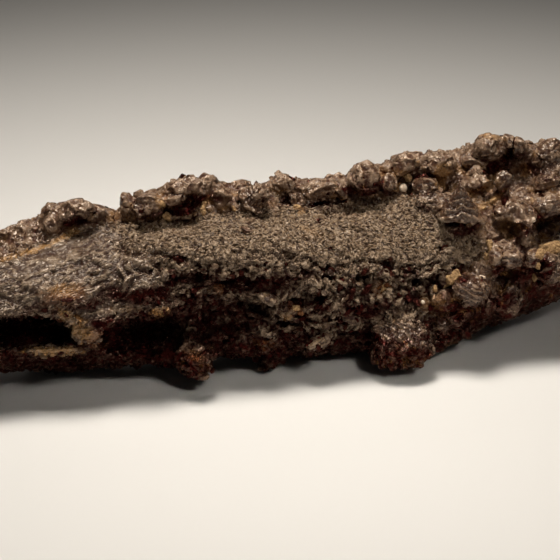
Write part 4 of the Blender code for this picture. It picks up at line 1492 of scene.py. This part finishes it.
oxide = {
    # linear colours: (plain, crest, crease); the crest colour serves partly as painted highlight and the
    # reddish crease colour partly as painted shade
    "crust": ((0.092, 0.053, 0.028), (0.37, 0.265, 0.175), (0.026, 0.006, 0.003)),
    "lump": ((0.100, 0.048, 0.025), (0.34, 0.228, 0.150), (0.044, 0.010, 0.005)),
    "skin": ((0.068, 0.038, 0.021), (0.31, 0.222, 0.150), (0.030, 0.009, 0.005)),
    # mostly painted shade for the dark marks, partly the stone's own dark patches; tinted red like light
    # bounced off a red ground
    "dark": (0.032, 0.011, 0.007),
    # painted shade in the hollows, tinted red like light bounced off a red ground
    "deep": (0.044, 0.0042, 0.0028),
    # painted shade below the stone, tinted red like light bounced off a red ground
    "underside": (0.030, 0.0022, 0.0016),
    "dust": (0.27, 0.168, 0.082),
    "ochre": (0.40, 0.215, 0.075),
    "rust": (0.18, 0.070, 0.025),
    # layers over the plain colour, each by the product of its factors: a name alone, or a name with
    # the values it runs between and what they are turned into
    "layers": (
        ("crest", ("mottle", 0.50, 0.70, 0.0, 0.3)),
        ("crease", ("mottle", 0.48, 0.32, 0.0, 0.45)),
        ("crease", ("patch", 0.55, 0.75, 0.0, 0.35)),
        ("crease", ("largeChance", 0.5, 1.0, 0.0, 0.35)),
        ("crest", ("smallChance", 0.6, 1.0, 0.0, 0.25)),
        ("dust", ("dust",), ("speck", 0.36, 0.60, 0.25, 1.0)),
        # painted highlight on the crests of the fine relief and painted shade in its grooves, partly the
        # stone's own tone
        ("crest", ("fine", 0.6, 1.0, 0.0, 0.4)),
        ("crease", ("fine", 0.35, 0.0, 0.0, 0.55)),
        # painted highlight on convex crests and edges, partly worn edges, and painted shade in concave
        # creases
        ("crest", ("crest", 0.60, 0.90, 0.0, 0.75)),
        ("crease", ("crest", 0.45, 0.15, 0.0, 0.95), ("lump", 0.0, 1.0, 1.0, 0.75)),
        ("crest", ("shade", 0.6, 1.0, 0.0, 0.5)),
        ("crease", ("shade", 0.4, 0.0, 0.0, 0.75)),
        # painted shade from the dark marks, partly the stone's own dark patches, spared on the crests
        ("dark", ("dark",), ("crest", 0.60, 0.90, 0.80, 0.25)),
        # painted shade in the hollows, where nearby stone covers the open side
        ("deep", ("shelter", 0.26, 0.66, 0.0, 0.95)),
        # painted shade below, a little lighter on the sharpest crests
        ("underside", ("underside",), ("crest", 0.95, 0.60, 0.85, 1.0)),
        ("rust", ("rust",), ("speck", 0.3, 0.6, 0.5, 1.0)),
        ("ochre", ("ochre",), ("speck", 0.32, 0.58, 0.4, 1.0)),
    ),
    # size in millimetres and detail
    "noises": {"patch": (7.0, 3.0), "mottle": (1.3, 4.0), "speck": (0.30, 2.0)},
    "wormSize": 0.62,
    "crackSize": 1.7,
    "wrinkleSize": (2.2, 0.70, 1.4),  # along, across and into the flow of the skin
    "facetSizes": (1.0, 0.42),
    "facetSlopes": (0.75, 0.85),
    # the sum of these parts, over this range, runs from the dull roughness to the smooth one
    "shine": {"lump": 0.25, "skin": 0.25, "dark": 0.3, "crest": 0.5, "smallChance": -0.5},
    "shineRange": (-0.25, 0.75),
    "roughness": (0.46, 0.17),
    "ior": 1.72,
    "tint": (1.0, 0.86, 0.72),
    # metal share in the hollows and below, which dims their reflections as painted shade
    "sunken": ((("shelter", 0.26, 0.60, 0.0, 0.9),), 0.95),
    # heights in millimetres; a pair is the value at 0 and the value at 1 of lump, faceted or skin
    "heights": {"noises": {"mottle": 0.15, "fine": 0.15}, "speck": (0.10, 0.04),
                "largeFacets": (0.4, 1.0), "faceted": (1.0, 0.6), "skin": (0.5, 0.3)},
}


def addNode(tree, kind, values, **settings):
    node = tree.nodes.new(kind)
    for key, value in settings.items():
        setattr(node, key, value)
    for socket, value in values.items():
        if isinstance(value, bpy.types.NodeSocket):
            tree.links.new(value, node.inputs[socket])
        else:
            node.inputs[socket].default_value = value
    return node


def lookNode(tree, name):
    return addNode(tree, "ShaderNodeAttribute", {}, attribute_name=name).outputs["Fac"]


def noiseNode(tree, place, size, detail=3.0):
    values = {"Vector": place, "Scale": 1 / (size * mm), "Detail": detail, "Roughness": 0.55}
    return addNode(tree, "ShaderNodeTexNoise", values).outputs["Fac"]


def mixNode(tree, share, first, second):
    values = {0: share, 6: first, 7: second}
    return addNode(tree, "ShaderNodeMix", values, data_type="RGBA").outputs[2]


def mixValues(tree, share, first, second):
    return addNode(tree, "ShaderNodeMix", {0: share, 2: first, 3: second}).outputs[0]


def ramp(tree, value, low, high, toLow=0.0, toHigh=1.0):
    values = {"Value": value, "From Min": low, "From Max": high, "To Min": toLow, "To Max": toHigh}
    return addNode(tree, "ShaderNodeMapRange", values).outputs["Result"]


def mathNode(tree, operation, *values):
    return addNode(tree, "ShaderNodeMath", dict(enumerate(values)), operation=operation).outputs[0]


def times(tree, first, second):
    return mathNode(tree, "MULTIPLY", first, second)


def plus(tree, first, second):
    return mathNode(tree, "ADD", first, second)


def crested(tree, value, sharpness):
    # 1 on thin winding lines, where the noise passes its middle
    off = mathNode(tree, "ABSOLUTE", mathNode(tree, "SUBTRACT", value, 0.5))
    return ramp(tree, off, 0.0, 1.0 / sharpness, 1.0, 0.0)


def vectorMath(tree, operation, first, second):
    return addNode(tree, "ShaderNodeVectorMath", {0: first, 1: second}, operation=operation).outputs


def flowPlace(tree, place):
    # coordinates along, across and into the flow of the skin, in units of its wrinkles
    parts = []
    for direction, size in zip(skinFlow, oxide["wrinkleSize"]):
        parts.append(vectorMath(tree, "DOT_PRODUCT", place, tuple(direction / (size * mm)))["Value"])
    return addNode(tree, "ShaderNodeCombineXYZ", dict(enumerate(parts))).outputs[0]


def facets(tree, place, size, slope):
    # small flat faces, each tilted its own way: their height in millimetres and a random value for each
    cell = addNode(tree, "ShaderNodeTexVoronoi", {"Vector": place, "Scale": 1 / (size * mm)})
    offset = vectorMath(tree, "SUBTRACT", place, cell.outputs["Position"])[0]
    tilt = vectorMath(tree, "SUBTRACT", cell.outputs["Color"], (0.5, 0.5, 0.5))[0]
    along = vectorMath(tree, "DOT_PRODUCT", offset, tilt)["Value"]
    chance = addNode(tree, "ShaderNodeSeparateXYZ", {0: cell.outputs["Color"]}).outputs[0]
    return times(tree, along, 2 * slope / mm), chance


def rgba(colour):
    return (*colour, 1.0)


def product(tree, drivers, factors):
    share = None
    for name, *span in factors:
        factor = ramp(tree, drivers[name], *span) if span else drivers[name]
        share = factor if share is None else times(tree, share, factor)
    return share


def weighted(tree, drivers, weights):
    total = None
    for name, weight in weights.items():
        part = times(tree, drivers[name], weight)
        total = part if total is None else plus(tree, total, part)
    return total


def newMaterial(name):
    material = bpy.data.materials.new(name)
    material.use_nodes = True
    return material, material.node_tree, material.node_tree.nodes["Principled BSDF"]


def bumpOn(tree, shader, height, distance, strength):
    bump = addNode(tree, "ShaderNodeBump", {"Height": height, "Distance": distance, "Strength": strength})
    tree.links.new(bump.outputs["Normal"], shader.inputs["Normal"])


lookNames = ("crest", "shelter", "underside", "dust", "ochre", "rust", "dark", "shade", "lump", "skin",
             "layerPlace", "layerShare", "faceted")


def oxideMaterial():
    material, tree, shader = newMaterial("iron oxide")
    place = addNode(tree, "ShaderNodeTexCoord", {}).outputs["Object"]
    # everything that may drive a colour or a height, by name
    drivers = {name: lookNode(tree, name) for name in lookNames}
    for name, (size, detail) in oxide["noises"].items():
        drivers[name] = noiseNode(tree, place, size, detail)
    speck, lump, skin = drivers["speck"], drivers["lump"], drivers["skin"]
    worm = crested(tree, noiseNode(tree, place, oxide["wormSize"], 1.5), 9.0)
    crack = crested(tree, noiseNode(tree, place, oxide["crackSize"], 2.0), 14.0)
    values = {"Vector": flowPlace(tree, place), "Scale": 1.0, "Detail": 2.0}
    fold = addNode(tree, "ShaderNodeTexNoise", values)
    fold = crested(tree, fold.outputs["Fac"], 9.0)
    (large, drivers["largeChance"]), (small, drivers["smallChance"]) = (
        facets(tree, place, size, slope) for size, slope in zip(oxide["facetSizes"], oxide["facetSlopes"]))
    layerPlace = plus(tree, drivers["layerPlace"], times(tree, speck, 0.5))
    layer = mathNode(tree, "PINGPONG", layerPlace, 0.5)
    # the fine relief, from 0 in the gaps to 1 on the crests
    fine = mixValues(tree, skin, worm, fold)
    fine = mixValues(tree, lump, fine, ramp(tree, crack, 0.0, 1.0, 0.4, 1.0))
    drivers["fine"] = mixValues(tree, drivers["layerShare"], fine, times(tree, layer, 2.0))
    kinds = []
    for number in range(3):
        kind = mixNode(tree, lump, rgba(oxide["crust"][number]), rgba(oxide["lump"][number]))
        kinds.append(mixNode(tree, skin, kind, rgba(oxide["skin"][number])))
    plain, crestColour, creaseColour = kinds
    colours = {"crest": crestColour, "crease": creaseColour}
    colour, shares = plain, {}
    for name, *factors in oxide["layers"]:
        shares[name] = product(tree, drivers, factors)
        over = colours[name] if name in colours else rgba(oxide[name])
        colour = mixNode(tree, shares[name], colour, over)
    tree.links.new(colour, shader.inputs["Base Color"])
    # in the hollows and below, the gloss takes the colour of the stone: painted shade that dims their
    # reflections
    sheltered, below = oxide["sunken"]
    sunken = mathNode(tree, "MAXIMUM", product(tree, drivers, sheltered),
                      times(tree, shares["underside"], below))
    tree.links.new(sunken, shader.inputs["Metallic"])
    shiny = weighted(tree, drivers, oxide["shine"])
    roughness = ramp(tree, shiny, *oxide["shineRange"], *oxide["roughness"])
    tree.links.new(roughness, shader.inputs["Roughness"])
    shader.inputs["IOR"].default_value = oxide["ior"]
    shader.inputs["Specular Tint"].default_value = rgba(oxide["tint"])
    # heights in millimetres
    heights = oxide["heights"]
    grain = times(tree, drivers["speck"], ramp(tree, lump, 0.0, 1.0, *heights["speck"]))
    height = plus(tree, grain, weighted(tree, drivers, heights["noises"]))
    flat = plus(tree, times(tree, large, ramp(tree, lump, 0.0, 1.0, *heights["largeFacets"])), small)
    for name in ("faceted", "skin"):
        flat = times(tree, flat, ramp(tree, drivers[name], 0.0, 1.0, *heights[name]))
    height = plus(tree, height, flat)
    bumpOn(tree, shader, height, mm, 1.0)
    return material


ironOxide = oxideMaterial()

# ochre clay left in the gaps: (at, (width, height, depth), turn, sunk share, kind)
clay = {
    "wedge": ((168, 217), (1.8, 1.3, 1.3), -40, 0.2, "block"),
    "wedgeTop": ((162, 204), (0.9, 1.2, 0.9), 30, 0.4, "round"),
    "finger": ((203, 212), (1.0, 2.2, 1.2), 4, 0.3, "round"),
    "fingerTip": ((204, 204), (0.8, 0.9, 0.9), 0, 0.3, "round"),
    "speck": ((234, 209), (0.7, 1.0, 0.8), 30, 0.3, "round"),
    "corner": ((297, 207), (1.4, 0.9, 0.9), -20, 0.4, "round"),
    "nest": ((408, 178), (1.2, 1.5, 1.2), 20, 0.3, "round"),
    "strip": ((490, 248), (1.0, 3.0, 1.3), 8, 0.15, "block"),
    "stripFoot": ((486, 256), (0.9, 1.2, 1.0), 10, 0.3, "round"),
    "fill": ((453, 277), (2.8, 1.9, 1.7), 35, 0.25, "block"),
    "fillTail": ((445, 283), (2.0, 1.6, 1.5), 30, 0.28, "block"),
    "fillEnd": ((435, 289), (0.9, 1.2, 1.0), 0, 0.35, "round"),
    "gapFill": ((549, 249), (4.2, 2.2, 2.4), 14, 0.3, "block"),
    "gapFillLeft": ((540, 254), (1.8, 1.5, 1.6), 60, 0.4, "block"),
    "gapFillMiddle": ((538, 266), (0.7, 1.4, 1.0), -10, 0.3, "round"),
    "gapFillFoot": ((535, 276), (0.9, 1.8, 1.1), -12, 0.3, "round"),
    "streakA": ((483, 208), (1.3, 0.7, 0.8), 28, 0.35, "round"),
    "streakB": ((492, 201), (1.9, 0.7, 0.8), 30, 0.35, "round"),
    "seamGrain": ((72, 231), (0.8, 0.7, 0.8), 0, 0.3, "round"),
    "rimGrain": ((66, 313), (0.9, 0.8, 0.8), 0, 0.35, "round"),
    "kneeSpot": ((296, 308), (1.4, 1.0, 1.0), 0, 0.75, "block"),
    "lowSpot": ((382, 288), (1.8, 1.2, 1.2), 20, 0.75, "block"),
}

# grains of sand caught on the stone
sand = {
    "white": ((403, 188), (1.45, 1.40, 1.4), 20, 0.1, "round"),
    "pinkish": ((533, 220), (1.0, 0.9, 0.9), 0, 0.25, "round"),
    "flat": ((482, 277), (1.3, 0.6, 0.8), -20, 0.3, "round"),
    "low": ((423, 302), (0.6, 0.7, 0.6), 0, 0.3, "round"),
    "bright": ((387, 316), (0.55, 0.75, 0.6), 10, 0.3, "round"),
    "upper": ((527, 199), (0.6, 0.5, 0.6), 0, 0.3, "round"),
}


def speckledMaterial(name, first, second, size, roughness):
    material, tree, shader = newMaterial(name)
    place = addNode(tree, "ShaderNodeTexCoord", {}).outputs["Object"]
    speck = noiseNode(tree, place, size, 4.0)
    colour = mixNode(tree, ramp(tree, speck, 0.35, 0.65), rgba(first), rgba(second))
    tree.links.new(colour, shader.inputs["Base Color"])
    shader.inputs["Roughness"].default_value = roughness
    bumpOn(tree, shader, speck, 0.1 * mm, 0.8)
    return material


def residue(name, table, voxel, crumble, material):
    mesh, _ = shapesMesh(table, nearTree, cut=False)
    piece = newObject(name, mesh)
    fuse(piece, voxel)
    points, normals = pointsOf(piece.data), normalsOf(piece.data)
    uneven = crumble * noiseOn(points, 0.35, 2.5) + crumble * 0.6 * noiseOn(points, 0.16, 4.5)
    points += normals * uneven[:, None]
    movePoints(piece.data, points)
    piece.data.shade_smooth()
    piece.data.materials.append(material)
    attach(piece, "root")
    print(name, triangleCount(piece.data), "triangles")


residue("ochre_clay", clay, 0.09, 0.16,
        speckledMaterial("ochre clay", (0.20, 0.105, 0.040), (0.46, 0.285, 0.125), 0.35, 0.8))
residue("sand_grains", sand, 0.07, 0.05,
        speckledMaterial("sand grain", (0.62, 0.45, 0.31), (0.88, 0.73, 0.56), 0.5, 0.5))
stone.data.materials.clear()
stone.data.shade_smooth()
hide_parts("prophecy_stone")
crystals.data.shade_smooth()
farCrystals.data.shade_smooth()
for piece in [stone, crystals, farCrystals] + small:
    piece.data.materials.append(ironOxide)
    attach(piece, "root")


setting = {
    # linear colours
    "floor": (0.68, 0.66, 0.63),
    "lamps": (1.0, 0.95, 0.88),
    "world": (1.0, 0.98, 0.95),
    "worldStrength": 0.026,
}


def makeFloor():
    mesh = bpy.data.meshes.new("floor")
    bm = bmesh.new()
    bmesh.ops.create_grid(bm, x_segments=1, y_segments=1, size=2.0)
    bm.to_mesh(mesh)
    bm.free()
    floor = newObject("floor", mesh)
    material, _, shader = newMaterial("pale floor")
    shader.inputs["Base Color"].default_value = rgba(setting["floor"])
    shader.inputs["Roughness"].default_value = 0.8
    floor.data.materials.append(material)


lights = {
    # name: place in metres, size in metres, watts, spread in degrees
    "softBox": ((-0.03, 0.02, 0.40), 0.13, 0.34, 72),
    "frontBox": ((0.08, -0.36, 0.36), 0.10, 0.014, 20),
    "backBox": ((0.05, 0.35, 0.25), 0.20, 0.10, 180),
}


def makeLights():
    for name, (place, size, watts, spread) in lights.items():
        lamp = bpy.data.lights.new(name, "AREA")
        lamp.size = size
        lamp.energy = watts
        lamp.spread = math.radians(spread)
        lamp.color = setting["lamps"]
        obj = newObject(name, lamp)
        obj.location = place
        obj.rotation_mode = "QUATERNION"
        obj.rotation_quaternion = Vector(place).to_track_quat("Z", "Y")
    world = bpy.data.worlds.new("studio")
    world.use_nodes = True
    background = world.node_tree.nodes["Background"]
    background.inputs["Color"].default_value = rgba(setting["world"])
    background.inputs["Strength"].default_value = setting["worldStrength"]
    bpy.context.scene.world = world
    bpy.context.scene.view_settings.view_transform = "Standard"


def makeCamera():
    camera = bpy.data.cameras.new("camera")
    camera.lens = view["lens"]
    camera.sensor_width = view["filmWidth"]
    camera.clip_start = 0.01
    obj = newObject("camera", camera)
    obj.location = Vector((lookAt + viewBack * view["distance"]) * mm)
    obj.rotation_mode = "QUATERNION"
    obj.rotation_quaternion = Vector(viewBack).to_track_quat("Z", "Y")
    bpy.context.scene.camera = obj


makeFloor()
makeLights()
makeCamera()
print("floor, lights and camera done")
